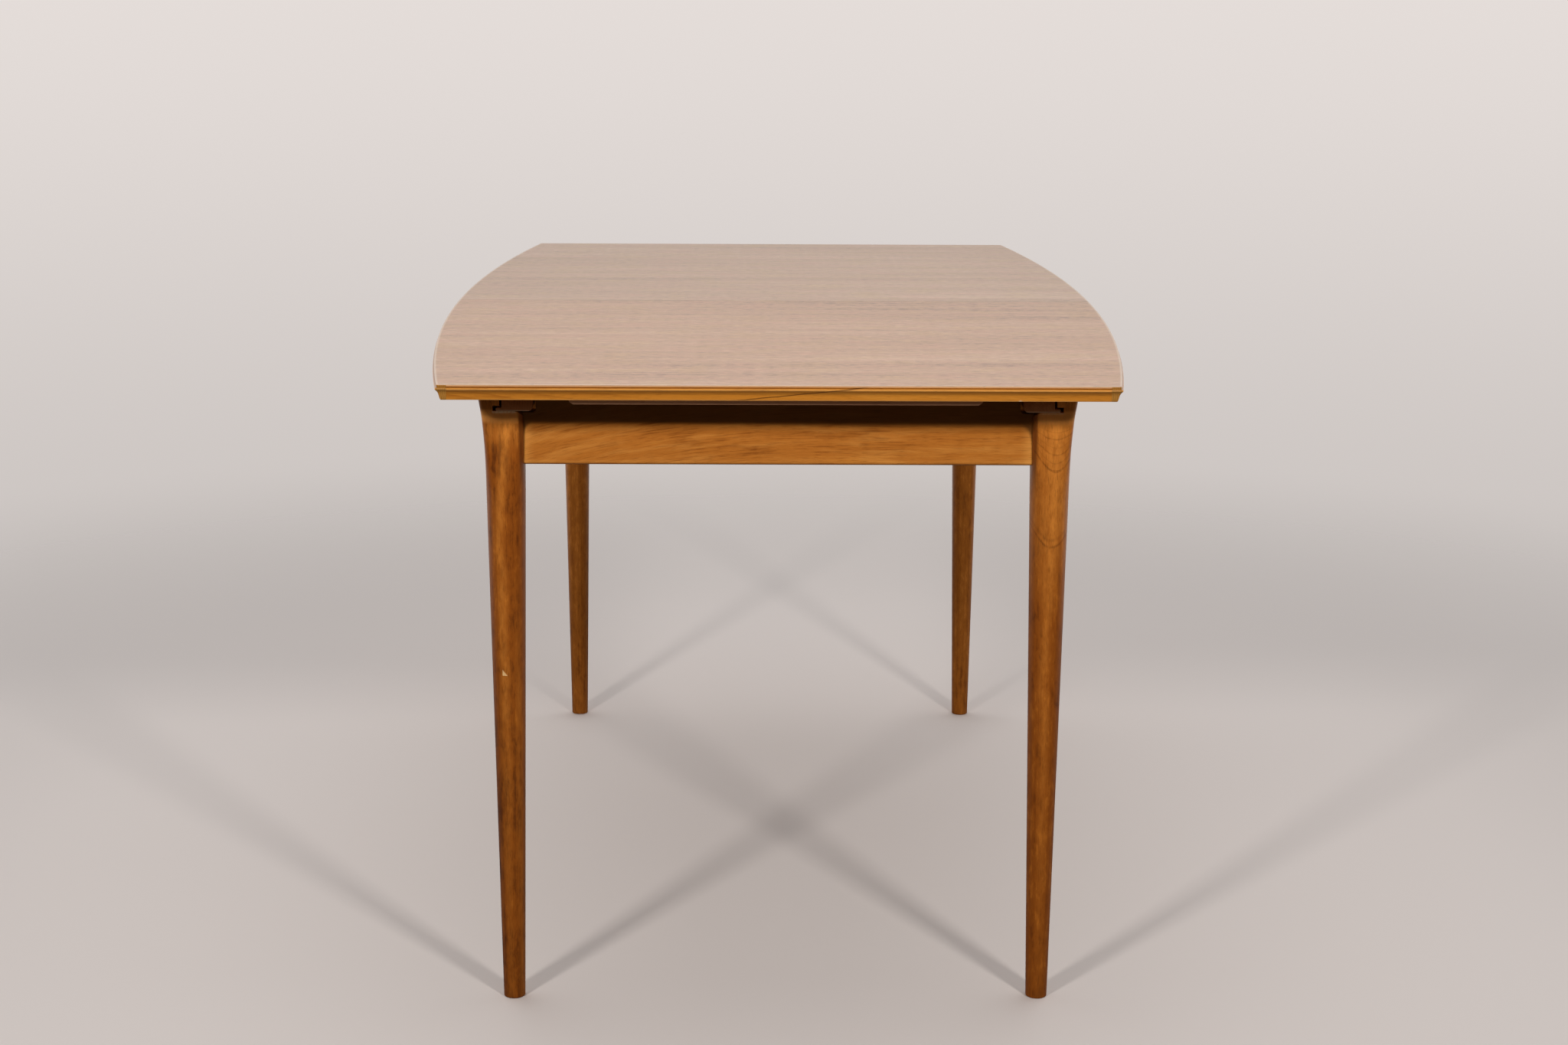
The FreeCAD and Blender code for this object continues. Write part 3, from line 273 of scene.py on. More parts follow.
# -------------------------------------------------------------- shader tools
class Shade:
    """A material's node graph, written as expressions."""

    def __init__(self, name):
        self.mat = bpy.data.materials.new(name)
        self.mat.use_nodes = True
        self.t = self.mat.node_tree
        self.t.nodes.clear()
        self.out = self.t.nodes.new("ShaderNodeOutputMaterial")
        self.bsdf = self.t.nodes.new("ShaderNodeBsdfPrincipled")
        self.t.links.new(self.bsdf.outputs[0], self.out.inputs["Surface"])
        self.coord = self.t.nodes.new("ShaderNodeTexCoord").outputs["Object"]

    def put(self, socket, value):
        if isinstance(value, bpy.types.NodeSocket):
            self.t.links.new(value, socket)
        elif value is not None:
            socket.default_value = value

    def math(self, op, a, b=None, c=None, clamp=False):
        n = self.t.nodes.new("ShaderNodeMath")
        n.operation, n.use_clamp = op, clamp
        for i, v in enumerate((a, b, c)):
            self.put(n.inputs[i], v)
        return n.outputs[0]

    def add(self, a, b): return self.math("ADD", a, b)
    def sub(self, a, b): return self.math("SUBTRACT", a, b)
    def mul(self, a, b): return self.math("MULTIPLY", a, b)

    def vec(self, x, y, z):
        n = self.t.nodes.new("ShaderNodeCombineXYZ")
        for i, v in enumerate((x, y, z)):
            self.put(n.inputs[i], v)
        return n.outputs[0]

    def xyz(self, v):
        n = self.t.nodes.new("ShaderNodeSeparateXYZ")
        self.put(n.inputs[0], v)
        return n.outputs[0], n.outputs[1], n.outputs[2]

    def vmul(self, v, scale):
        n = self.t.nodes.new("ShaderNodeVectorMath")
        n.operation = "MULTIPLY"
        self.put(n.inputs[0], v)
        n.inputs[1].default_value = scale
        return n.outputs[0]

    def vadd(self, v, shift):
        n = self.t.nodes.new("ShaderNodeVectorMath")
        n.operation = "ADD"
        self.put(n.inputs[0], v)
        self.put(n.inputs[1], shift)
        return n.outputs[0]

    def noise(self, v, scale=1.0, detail=2.0, rough=0.5, distort=0.0):
        n = self.t.nodes.new("ShaderNodeTexNoise")
        self.put(n.inputs["Vector"], v)
        n.inputs["Scale"].default_value = scale
        n.inputs["Detail"].default_value = detail
        n.inputs["Roughness"].default_value = rough
        n.inputs["Distortion"].default_value = distort
        return n.outputs[0]

    def span(self, v, a, b, lo=0.0, hi=1.0, smooth=False):
        n = self.t.nodes.new("ShaderNodeMapRange")
        n.interpolation_type = "SMOOTHSTEP" if smooth else "LINEAR"
        n.clamp = True
        self.put(n.inputs["Value"], v)
        for k, x in (("From Min", a), ("From Max", b), ("To Min", lo), ("To Max", hi)):
            self.put(n.inputs[k], x)
        return n.outputs[0]

    def ramp(self, v, stops, mode="LINEAR"):
        n = self.t.nodes.new("ShaderNodeValToRGB")
        n.color_ramp.interpolation = mode
        e = n.color_ramp.elements
        while len(e) > 1:
            e.remove(e[-1])
        for i, (pos, col) in enumerate(stops):
            el = e[0] if i == 0 else e.new(pos)
            el.position = pos
            el.color = (col[0], col[1], col[2], 1.0) if isinstance(col, (tuple, list)) else (col, col, col, 1.0)
        self.put(n.inputs[0], v)
        return n.outputs[0]

    def mix(self, f, a, b, blend="MIX"):
        n = self.t.nodes.new("ShaderNodeMix")
        n.data_type, n.blend_type = "RGBA", blend
        n.clamp_factor = True
        self.put(n.inputs[0], f)
        for i, v in ((6, a), (7, b)):
            if isinstance(v, (tuple, list)):
                v = (v[0], v[1], v[2], 1.0)
            self.put(n.inputs[i], v)
        return n.outputs[2]

    def bell(self, v, centre, width):
        """1 at the centre, falling away smoothly."""
        d = self.math("DIVIDE", self.sub(v, centre), width)
        return self.math("EXPONENT", self.mul(self.mul(d, d), -1.0))

    def bump(self, height, strength, distance, normal=None):
        n = self.t.nodes.new("ShaderNodeBump")
        n.inputs["Strength"].default_value = strength
        n.inputs["Distance"].default_value = distance
        self.put(n.inputs["Height"], height)
        self.put(n.inputs["Normal"], normal)
        return n.outputs[0]

    def attribute(self, name):
        n = self.t.nodes.new("ShaderNodeAttribute")
        n.attribute_name = name
        return n.outputs["Fac"]

    def set(self, **values):
        names = {"color": "Base Color", "rough": "Roughness", "metal": "Metallic", "normal": "Normal",
                 "tint": "Specular Tint", "coat": "Coat Weight", "coat_rough": "Coat Roughness", "ior": "IOR",
                 "aniso": "Anisotropic", "level": "Specular IOR Level", "coat_normal": "Coat Normal"}
        for k, v in values.items():
            if isinstance(v, (tuple, list)):
                v = (v[0], v[1], v[2], 1.0)
            self.put(self.bsdf.inputs[names[k]], v)


def lin(r, g, b):
    """Linear colour from 8-bit sRGB."""
    return tuple((c / 255 / 12.92) if c / 255 <= 0.04045 else ((c / 255 + 0.055) / 1.055) ** 2.4 for c in (r, g, b))


def grain_axes(s, axis):
    """(across 1, across 2, along) for a board whose grain runs on that axis."""
    x, y, z = s.xyz(s.coord)
    return {"X": (y, z, x), "Y": (x, z, y), "Z": (x, y, z)}[axis]


def solid_wood(name, axis, light, mid, dark, pith=(0.06, 0.05), tilt=(0.02, 0.01), ring=0.0045,
               ring_strength=0.35, wobble=0.004, shift=0.0, tone=0.25, pores=0.5, rough=0.34,
               coat=0.06, coat_rough=0.25, bump=0.35, gloss=0.9, mottle=0.0, sweep=None,
               glow=None, figure=None, finish=None):
    """Lacquered solid wood: growth rings about a leaning pith, long fibres,
    short pores and slow changes of tone. pith and tilt are in metres and
    slopes; shift moves the whole figure. sweep = (bend, where) curves the
    grain before a place. figure(s) gives (lift, shade): how far the wood goes
    towards glow, and how much darker it is; on the near legs and the end rail
    the lift also holds painted highlights and painted light, and on the near
    left leg the shade also holds painted shade. finish(s, colour) adds stain
    and wear, and on the legs, the end rail, the runners and the moulding also
    painted light and shade."""
    s = Shade(name)
    u, v, w = grain_axes(s, axis)
    if sweep:
        ahead = s.math("MINIMUM", s.sub(w, sweep[1]), 0.0)
        v = s.add(v, s.mul(s.mul(ahead, ahead), sweep[0]))
    p = s.vec(u, v, w)
    pw = s.vadd(p, (shift, shift * 0.7, shift * 1.3))
    bend = s.sub(s.noise(s.vmul(pw, (22, 22, 3.2)), 1.0, 3, 0.55), 0.5)
    bend2 = s.sub(s.noise(s.vmul(pw, (7, 7, 1.6)), 1.0, 2, 0.5), 0.5)
    du = s.sub(s.sub(u, pith[0]), s.mul(w, tilt[0]))
    dv = s.sub(s.sub(v, pith[1]), s.mul(w, tilt[1]))
    rad = s.math("SQRT", s.add(s.mul(du, du), s.mul(dv, dv)))
    rad = s.add(rad, s.add(s.mul(bend, wobble), s.mul(bend2, wobble * 3.5)))
    # ring widths vary from year to year
    year = s.sub(s.noise(s.vec(s.mul(rad, 90), shift, 0.0), 1.0, 2, 0.6), 0.5)
    phase = s.add(s.math("DIVIDE", rad, ring), s.mul(year, 2.2))
    saw = s.math("FRACT", phase)
    late = s.ramp(saw, [(0.0, 0.25), (0.10, 0.0), (0.55, 0.22), (0.80, 0.62), (0.93, 1.0), (0.985, 0.85), (1.0, 0.25)], "EASE")
    keep = s.span(s.noise(s.vmul(pw, (30, 30, 2.0)), 1.0, 2, 0.5), 0.32, 0.68, 0.25, 1.0)
    late = s.mul(late, keep)
    fibre = s.noise(s.vmul(pw, (1100, 1100, 16)), 1.0, 4, 0.62)
    streak = s.noise(s.vmul(pw, (210, 210, 3.0)), 1.0, 3, 0.6)
    band = s.noise(s.vmul(pw, (45, 45, 1.4)), 1.0, 2, 0.5)
    slow = s.noise(s.vmul(pw, (11, 11, 3.5)), 1.0, 2, 0.5)
    k = s.add(s.mul(s.sub(fibre, 0.5), 0.55), s.mul(s.sub(streak, 0.5), 0.75))
    k = s.add(k, s.mul(s.sub(band, 0.5), tone * 2.2))
    k = s.add(k, s.mul(s.sub(slow, 0.5), tone * 2.0))
    k = s.add(k, s.mul(late, ring_strength))
    if mottle:
        spots = s.noise(s.vmul(pw, (190, 190, 75)), 1.0, 3, 0.65, 0.4)
        cloud = s.noise(s.vmul(pw, (60, 60, 26)), 1.0, 2, 0.5)
        k = s.add(k, s.add(s.mul(s.sub(spots, 0.5), mottle), s.mul(s.sub(cloud, 0.5), mottle * 0.8)))
    k = s.add(k, 0.42)
    if figure:
        lift, shade = figure(s)
        k = s.add(k, shade)
    col = s.ramp(k, [(0.0, light), (0.45, mid), (1.0, dark)], "EASE")
    if figure and glow:
        col = s.mix(lift, col, glow)
    fleck = s.noise(s.vmul(pw, (2600, 2600, 75)), 1.0, 1, 0.5)
    pore = s.span(fleck, 0.60, 0.70, 0.0, pores, True)
    col = s.mix(pore, col, (dark[0] * 0.55, dark[1] * 0.5, dark[2] * 0.45))
    if finish:
        col = finish(s, col)
    height = s.add(s.mul(fibre, 0.35), s.mul(pore, -1.0))
    nrm = s.bump(height, bump, 0.00006)
    # the fibres under the lacquer throw back light of their own colour
    s.set(color=col, rough=s.add(s.mul(fibre, 0.10), rough - 0.05), normal=nrm, coat=coat,
          coat_rough=coat_rough, ior=1.5, level=gloss, tint=(1.0, 0.42, 0.10))
    return s


def veneer_wood(name, light, mid, dark, shift=0.0, rough=0.42, coat=0.3, coat_rough=0.28, edges=None, contrast=1.0):
    """Satin sliced veneer. The grain runs across the table, on X."""
    s = Shade(name)
    x, y, z = s.xyz(s.coord)
    p = s.vadd(s.vec(x, y, 0.0), (shift, shift * 2.1, shift))
    sway = s.mul(s.sub(s.noise(s.vmul(p, (2.2, 9, 1)), 1.0, 2, 0.5), 0.5), 0.012)
    px, py, pz = s.xyz(p)
    py = s.add(py, sway)
    q = s.vec(px, py, pz)
    fine = s.noise(s.vmul(q, (26, 900, 1)), 1.0, 4, 0.65)
    streak = s.noise(s.vmul(q, (5, 170, 1)), 1.0, 3, 0.6)
    band = s.noise(s.vmul(q, (1.1, 24, 1)), 1.0, 2, 0.5)
    broad = s.noise(s.vmul(q, (0.8, 5.5, 1)), 1.0, 1, 0.5)
    cluster = s.noise(s.vmul(q, (75, 165, 1)), 1.0, 3, 0.66)
    k = s.add(s.mul(s.sub(fine, 0.5), 0.6), s.mul(s.sub(streak, 0.5), 0.6))
    k = s.add(k, s.mul(s.sub(cluster, 0.5), 1.15))
    k = s.add(k, s.mul(s.sub(band, 0.5), 0.8))
    k = s.add(k, s.mul(s.sub(broad, 0.5), 0.5))
    k = s.add(s.mul(k, contrast), 0.45)
    col = s.ramp(k, [(0.0, light), (0.5, mid), (1.0, dark)], "EASE")
    # patches that lean to yellow or to pink
    hue = s.noise(s.vmul(q, (14, 34, 1)), 1.0, 2, 0.55)
    col = s.mix(1.0, col, s.ramp(hue, [(0.36, (1.03, 0.975, 0.975)), (0.5, (1.0, 1.0, 1.0)), (0.62, (1.0, 1.0, 0.87))]), "MULTIPLY")
    # open pores, short dashes that crowd into some of the bands
    cell = s.noise(s.vmul(q, (85, 1900, 1)), 1.0, 1, 0.5)
    dash = s.noise(s.vmul(q, (48, 260, 1)), 1.0, 2, 0.6)
    where = s.noise(s.vmul(q, (3, 60, 1)), 1.0, 2, 0.5)
    crowd = s.span(where, 0.38, 0.66, 0.15, 0.9)
    pore = s.mul(s.span(cell, 0.60, 0.70, 0.0, 1.0, True), crowd)
    col = s.mix(pore, col, (dark[0] * 0.5, dark[1] * 0.45, dark[2] * 0.45))
    col = s.mix(s.mul(s.span(dash, 0.54, 0.70, 0.0, 0.62, True), crowd), col, dark)
    if edges:
        col = edges(s, col)
    height = s.add(s.mul(fine, 0.3), s.mul(pore, -1.0))
    nrm = s.bump(height, 0.35, 0.00005)
    s.set(color=col, rough=s.add(s.mul(fine, 0.08), rough - 0.04), normal=nrm, coat=coat,
          coat_rough=coat_rough, ior=1.5)
    return s


def end_grain(name, light, mid, dark, rough=0.5):
    """The cut end of a board: rings and open pores seen end on."""
    s = Shade(name)
    x, y, z = s.xyz(s.coord)
    p = s.vec(x, z, 0.0)
    d = s.math("SQRT", s.add(s.mul(s.sub(x, 0.02), s.sub(x, 0.02)), s.mul(s.sub(z, 0.66), s.sub(z, 0.66))))
    saw = s.math("FRACT", s.add(s.math("DIVIDE", d, 0.0022), s.mul(s.noise(s.vmul(p, (120, 120, 1)), 1.0, 2, 0.5), 1.4)))
    late = s.ramp(saw, [(0.0, 0.1), (0.6, 0.3), (0.9, 1.0), (1.0, 0.1)], "EASE")
    grit = s.noise(s.vmul(p, (2400, 2400, 1)), 1.0, 2, 0.6)
    k = s.add(s.mul(late, 0.4), s.mul(grit, 0.7))
    col = s.ramp(k, [(0.1, light), (0.5, mid), (0.9, dark)], "EASE")
    pore = s.span(s.noise(s.vmul(p, (3800, 3800, 1)), 1.0, 1, 0.5), 0.6, 0.68, 0.0, 0.8, True)
    col = s.mix(pore, col, (dark[0] * 0.5, dark[1] * 0.5, dark[2] * 0.5))
    s.set(color=col, rough=s.add(s.mul(grit, 0.12), rough - 0.06),
          normal=s.bump(s.add(s.mul(pore, -1.0), s.mul(grit, 0.4)), 0.4, 0.00006), ior=1.5)
    return s


def metal(name, color, dull, rough=0.32, scratch=(900, 900, 60), aniso=0.3):
    """Worn metal with fine scratches and dull patches."""
    s = Shade(name)
    lines = s.noise(s.vmul(s.coord, scratch), 1.0, 3, 0.6)
    patch = s.noise(s.vmul(s.coord, (140, 140, 140)), 1.0, 3, 0.6)
    col = s.mix(s.span(patch, 0.40, 0.72, 0.0, 0.85), color, dull)
    col = s.mix(s.mul(s.sub(lines, 0.45), 0.5), col, (color[0] * 0.7, color[1] * 0.7, color[2] * 0.7))
    s.set(color=col, metal=1.0, rough=s.add(s.mul(patch, 0.25), rough - 0.1),
          normal=s.bump(lines, 0.25, 0.00003), aniso=aniso)
    return s


# ----------------------------------------------------------------- materials
def leg_near_left(s):
    """A pale streak that wanders down the front, a painted highlight of the left
    lamp, with a second painted highlight low on the inner side; painted light
    over the top of the front; a brown knot of grain beside its top; painted
    shade down the left side and towards the bottom, and a darker band on the
    inner side higher up. The small chip lower down is drawn in
    leg_wear_and_painted_light."""
    x, y, z = s.xyz(s.coord)
    drift = s.ramp(s.mul(z, 1 / 0.7), [(0.0, 0.45), (0.50, 0.42), (0.70, 0.38), (0.79, 0.30), (0.86, 0.41), (0.95, 0.55)])
    sway = s.mul(s.sub(s.noise(s.vec(0.0, 1.7, s.mul(z, 26.0)), 1.0, 2, 0.5), 0.5), 0.005)
    a = s.add(s.add(x, LEG_X * MM), sway)
    patch = s.span(s.noise(s.vmul(s.coord, (190, 190, 60)), 1.0, 3, 0.65), 0.34, 0.64, 0.35, 1.0)
    # painted highlight: the pale streak down the front stands in for the left lamp's highlight
    painted_highlight_streak = s.mul(s.bell(s.sub(a, s.sub(s.mul(drift, 0.04), 0.02)), 0.0, 0.0056), s.span(z, 0.10, 0.44, 0.30, 1.0))
    painted_highlight_streak = s.mul(painted_highlight_streak, s.span(z, 0.700, 0.665, 0.25, 1.0))
    # painted highlight of the right lamp, low on the inner side
    edge = s.mul(s.bell(a, 0.0118, 0.0045), s.span(z, 0.52, 0.36, 0.0, 0.7))
    # painted light over the top of the front, which lies in the top's shadow
    painted_top_light = s.mul(s.span(z, 0.640, 0.686, 0.0, 0.75, True), s.span(a, -0.024, -0.012, 0.5, 1.0))
    lift = s.mul(s.add(s.add(s.mul(painted_highlight_streak, 0.60), s.mul(edge, 0.42)), painted_top_light), patch)
    thread = s.noise(s.vmul(s.vadd(s.coord, (0.0, 0.0, 0.0)), (430, 430, 22)), 1.0, 2, 0.6)
    tall = s.mul(s.span(z, 0.570, 0.634, 0.0, 1.0, True), s.span(z, 0.664, 0.652, 0.0, 1.0, True))
    dark = s.mul(s.bell(a, -0.0080, 0.0055), s.mul(tall, s.span(thread, 0.34, 0.60, 0.30, 1.0)))
    # painted shade down the left side where the round turns away, and a darker band on the inner side higher up
    left = s.add(s.mul(s.bell(a, -0.0185, 0.0050), 0.14),
                 s.mul(s.mul(s.bell(a, 0.0100, 0.0070), s.span(z, 0.40, 0.50, 0.3, 1.0)), s.span(z, 0.655, 0.620, 0.0, 0.20)))
    # the last term is painted shade: darker towards the bottom
    return lift, s.add(s.add(s.mul(dark, 0.50), left), s.span(z, 0.46, 0.24, 0.0, 0.13))


def leg_near_right(s):
    """Flat-sawn figure: arches stacked up the flare, with a painted highlight
    streak down the front and painted light that makes it paler towards the top.
    """
    x, y, z = s.xyz(s.coord)
    dx = s.sub(x, 0.3084)
    curve = s.span(z, 0.612, 0.690, 74.0, 5.0)
    bulge = s.mul(s.sub(s.noise(s.vmul(s.coord, (75, 75, 60)), 1.0, 2, 0.5), 0.5), 0.0050)
    q = s.add(s.sub(z, s.mul(s.mul(dx, dx), curve)), bulge)
    year = s.math("DIVIDE", s.sub(q, 0.6265), 0.0089)
    cycle = s.math("FRACT", s.add(year, s.mul(s.sub(s.noise(s.vec(s.math("FLOOR", year), 0.4, 0.0), 1.0, 0, 0.5), 0.5), 0.5)))
    line = s.ramp(cycle, [(0.0, 0.8), (0.05, 1.0), (0.13, 0.2), (0.24, 0.0), (0.84, 0.0), (0.95, 0.4), (1.0, 0.8)], "EASE")
    each = s.ramp(s.mul(year, 0.125), [(0.0, 1.0), (0.105, 0.45), (0.23, 0.60), (0.355, 0.30), (0.48, 0.75), (0.605, 0.9), (0.73, 0.4)], "CONSTANT")
    line = s.mul(s.mul(line, each), s.mul(s.span(q, 0.6245, 0.6262, 0.0, 1.0), s.span(z, 0.662, 0.690, 1.0, 0.45)))
    low = s.sub(z, s.mul(s.mul(s.sub(x, 0.3060), s.sub(x, 0.3060)), 46.0))
    low = s.add(low, s.mul(bulge, 0.5))
    arc = s.add(s.mul(s.bell(low, 0.5405, 0.0017), 0.8), s.mul(s.bell(low, 0.5480, 0.0022), 0.5))
    fade = s.span(s.noise(s.vmul(s.coord, (170, 170, 110)), 1.0, 3, 0.6), 0.34, 0.56, 0.30, 1.0)
    shade = s.mul(s.add(s.mul(line, 0.64), s.mul(arc, 0.50)), fade)
    sway = s.mul(s.sub(s.noise(s.vec(0.0, 4.1, s.mul(z, 22.0)), 1.0, 2, 0.5), 0.5), 0.006)
    a = s.add(s.sub(x, LEG_X * MM), sway)
    patch = s.span(s.noise(s.vmul(s.coord, (190, 190, 60)), 1.0, 3, 0.65), 0.34, 0.64, 0.45, 1.0)
    centre = s.ramp(s.mul(z, 1 / 0.7), [(0.0, 0.52), (0.4, 0.50), (0.60, 0.43), (0.76, 0.52), (0.86, 0.64)])
    # painted highlight: a pale streak where the lamp's highlight falls
    painted_highlight_streak = s.bell(s.sub(a, s.sub(s.mul(centre, 0.04), 0.02)), 0.0, s.span(z, 0.46, 0.62, 0.0050, 0.0115))
    painted_highlight_streak = s.mul(painted_highlight_streak, s.span(z, 0.08, 0.42, 0.16, 0.46))
    # painted light: paler up the leg and over its top, which lies in the top's shadow
    upper = s.add(s.span(z, 0.44, 0.60, 0.0, 0.42, True), s.span(z, 0.655, 0.690, 0.0, 0.40, True))
    lift = s.mul(s.mul(s.add(painted_highlight_streak, upper), patch), s.sub(1.0, s.math("MINIMUM", shade, 0.8)))
    return lift, shade


def plain_figure(s):
    x, y, z = s.xyz(s.coord)
    patch = s.noise(s.vmul(s.coord, (190, 190, 60)), 1.0, 3, 0.65)
    return s.mul(s.span(patch, 0.45, 0.70, 0.0, 0.25), s.span(z, 0.1, 0.6, 0.3, 1.0)), s.mul(patch, 0.05)


def rail_figure(s):
    """Pale flames low on the left, a pale strip along the rail's ends that is
    partly wear and partly painted highlight, and a painted highlight along the
    rounding of the lower edge.
    """
    x, y, z = s.xyz(s.coord)
    ahead = s.math("MINIMUM", s.sub(x, 0.05), 0.0)
    rise = s.add(z, s.mul(s.mul(ahead, ahead), 0.42))
    sheen = s.noise(s.vec(s.mul(x, 13.0), 0.0, s.mul(rise, 95.0)), 1.0, 3, 0.6, 0.3)
    line = s.noise(s.vec(s.mul(x, 24.0), 2.0, s.mul(rise, 620.0)), 1.0, 2, 0.55)
    ends = s.math("ABSOLUTE", x)
    # pale strip along the ends: partly wear, partly painted highlight
    rub = s.mul(s.span(ends, 0.268, 0.2835, 0.0, 0.55, True), s.span(z, 0.690, 0.670, 0.0, 1.0))
    # painted highlight along the rounded lower edge
    under = s.mul(s.bell(z, 0.6345, 0.0018), 0.25)
    lift = s.math("ADD", s.span(sheen, 0.44, 0.70, 0.0, 0.38, True), s.add(rub, under), clamp=True)
    return lift, s.add(s.span(sheen, 0.46, 0.30, 0.0, 0.10, True), s.span(line, 0.48, 0.72, 0.0, 0.36, True))


def rail_painted_shade(s, col):
    """Painted shade: the shadow under the top, quarter-round shadows in the
    upper corners against the legs, and a dark line along the lower edge.
    """
    x, y, z = s.xyz(s.coord)
    in_x, wide = s.span(x, -0.1, 0.1, 0.2725, 0.2690), s.span(x, -0.1, 0.1, 0.0105, 0.0140)
    in_z, tall = s.span(x, -0.1, 0.1, 0.6635, 0.6530), s.span(x, -0.1, 0.1, 0.0150, 0.0240)
    ex = s.math("DIVIDE", s.math("MAXIMUM", s.sub(s.math("ABSOLUTE", x), in_x), 0.0), wide)
    ez = s.math("DIVIDE", s.math("MAXIMUM", s.sub(z, in_z), 0.0), tall)
    far = s.math("SQRT", s.add(s.mul(ex, ex), s.mul(ez, ez)))
    # painted shadow in the upper corners beside the legs
    corner = s.mul(s.span(far, 0.80, 1.12, 0.0, 0.80, True), s.span(z, 0.640, 0.660, 0.35, 1.0))
    # painted shadow under the top's overhang
    under = s.span(z, 0.674, 0.686, 0.0, 0.45, True)
    # painted shade along the lower edge
    foot = s.mul(s.bell(z, 0.6310, 0.0012), 0.55)
    return s.mix(s.math("MAXIMUM", s.math("MAXIMUM", corner, under), foot), col, lin(64, 34, 16))


def moulding_stain_and_painted_light(s, col):
    """Darker cove and quirk, partly stain gathered in the hollows and partly
    painted shade; painted highlights on the bead, along the rim and along the
    lower edge; and the mark and the chip of the near end."""
    x, y, z = s.xyz(s.coord)
    h = s.math("DIVIDE", s.sub(z, 0.721), 0.0175)
    at = lambda mm: (mm - 721.0) / 17.5
    # darker cove and quirk: partly stain in the hollows, partly painted shade
    tone = s.ramp(h, [(0.0, 1.0), (at(721.7), 1.0), (at(722.4), 0.98), (at(725.5), 0.96), (at(727.4), 0.86),
                      (at(728.4), 0.66), (at(731.0), 0.60), (at(732.2), 0.72), (at(732.9), 0.98), (at(734.3), 1.0),
                      (at(734.8), 0.62), (at(735.4), 0.48), (at(735.9), 0.74), (at(736.4), 1.0), (1.0, 1.0)])
    col = s.mix(1.0, col, tone, "MULTIPLY")
    # painted highlight on the bead
    col = s.mix(s.mul(s.bell(z, 0.7333, 0.0009), 0.35), col, lin(240, 190, 116))
    # painted reflection on the rounded rim
    col = s.mix(s.span(z, 0.7359, 0.7367, 0.0, 0.70, True), col, lin(226, 186, 146))
    # painted highlight along the lower edge
    col = s.mix(s.mul(s.bell(z, 0.7212, 0.0007), 0.55), col, lin(232, 176, 104))
    near = s.span(y, -0.698, -0.702, 0.0, 1.0)
    run = s.add(s.add(0.7216, s.mul(s.add(x, 0.0409), 0.1096)),
                s.mul(s.sub(s.noise(s.vec(s.mul(x, 60.0), 0.3, 0.0), 1.0, 2, 0.5), 0.5), 0.0012))
    mark = s.mul(s.bell(s.sub(z, run), 0.0, 0.00062), s.mul(s.span(x, -0.046, -0.034, 0.0, 1.0), s.span(x, 0.098, 0.084, 0.0, 1.0)))
    col = s.mix(s.mul(mark, s.mul(near, 0.85)), col, lin(70, 34, 8))
    chip = s.mul(s.bell(x, 0.2577, 0.0014), s.bell(z, 0.7214, 0.0010))
    return s.mix(s.mul(chip, near), col, lin(236, 206, 168))


def runner_wear_and_painted_light(s, col):
    """The runner's outer end is paler low down, as painted light, and pale
    along its lower edge, partly wear and partly painted highlight.
    """
    x, y, z = s.xyz(s.coord)
    out = s.span(s.math("ABSOLUTE", y), 0.6095, 0.6118, 0.0, 1.0, True)
    low = s.span(z, 0.6950, 0.6937, 0.0, 0.75, True)
    # painted light: paler towards the bottom of the end
    col = s.mix(s.mul(out, s.span(z, 0.7035, 0.6945, 0.0, 0.30, True)), col, lin(206, 150, 104))
    # pale lower edge: partly wear, partly painted highlight
    return s.mix(s.mul(out, low), col, lin(236, 196, 158))


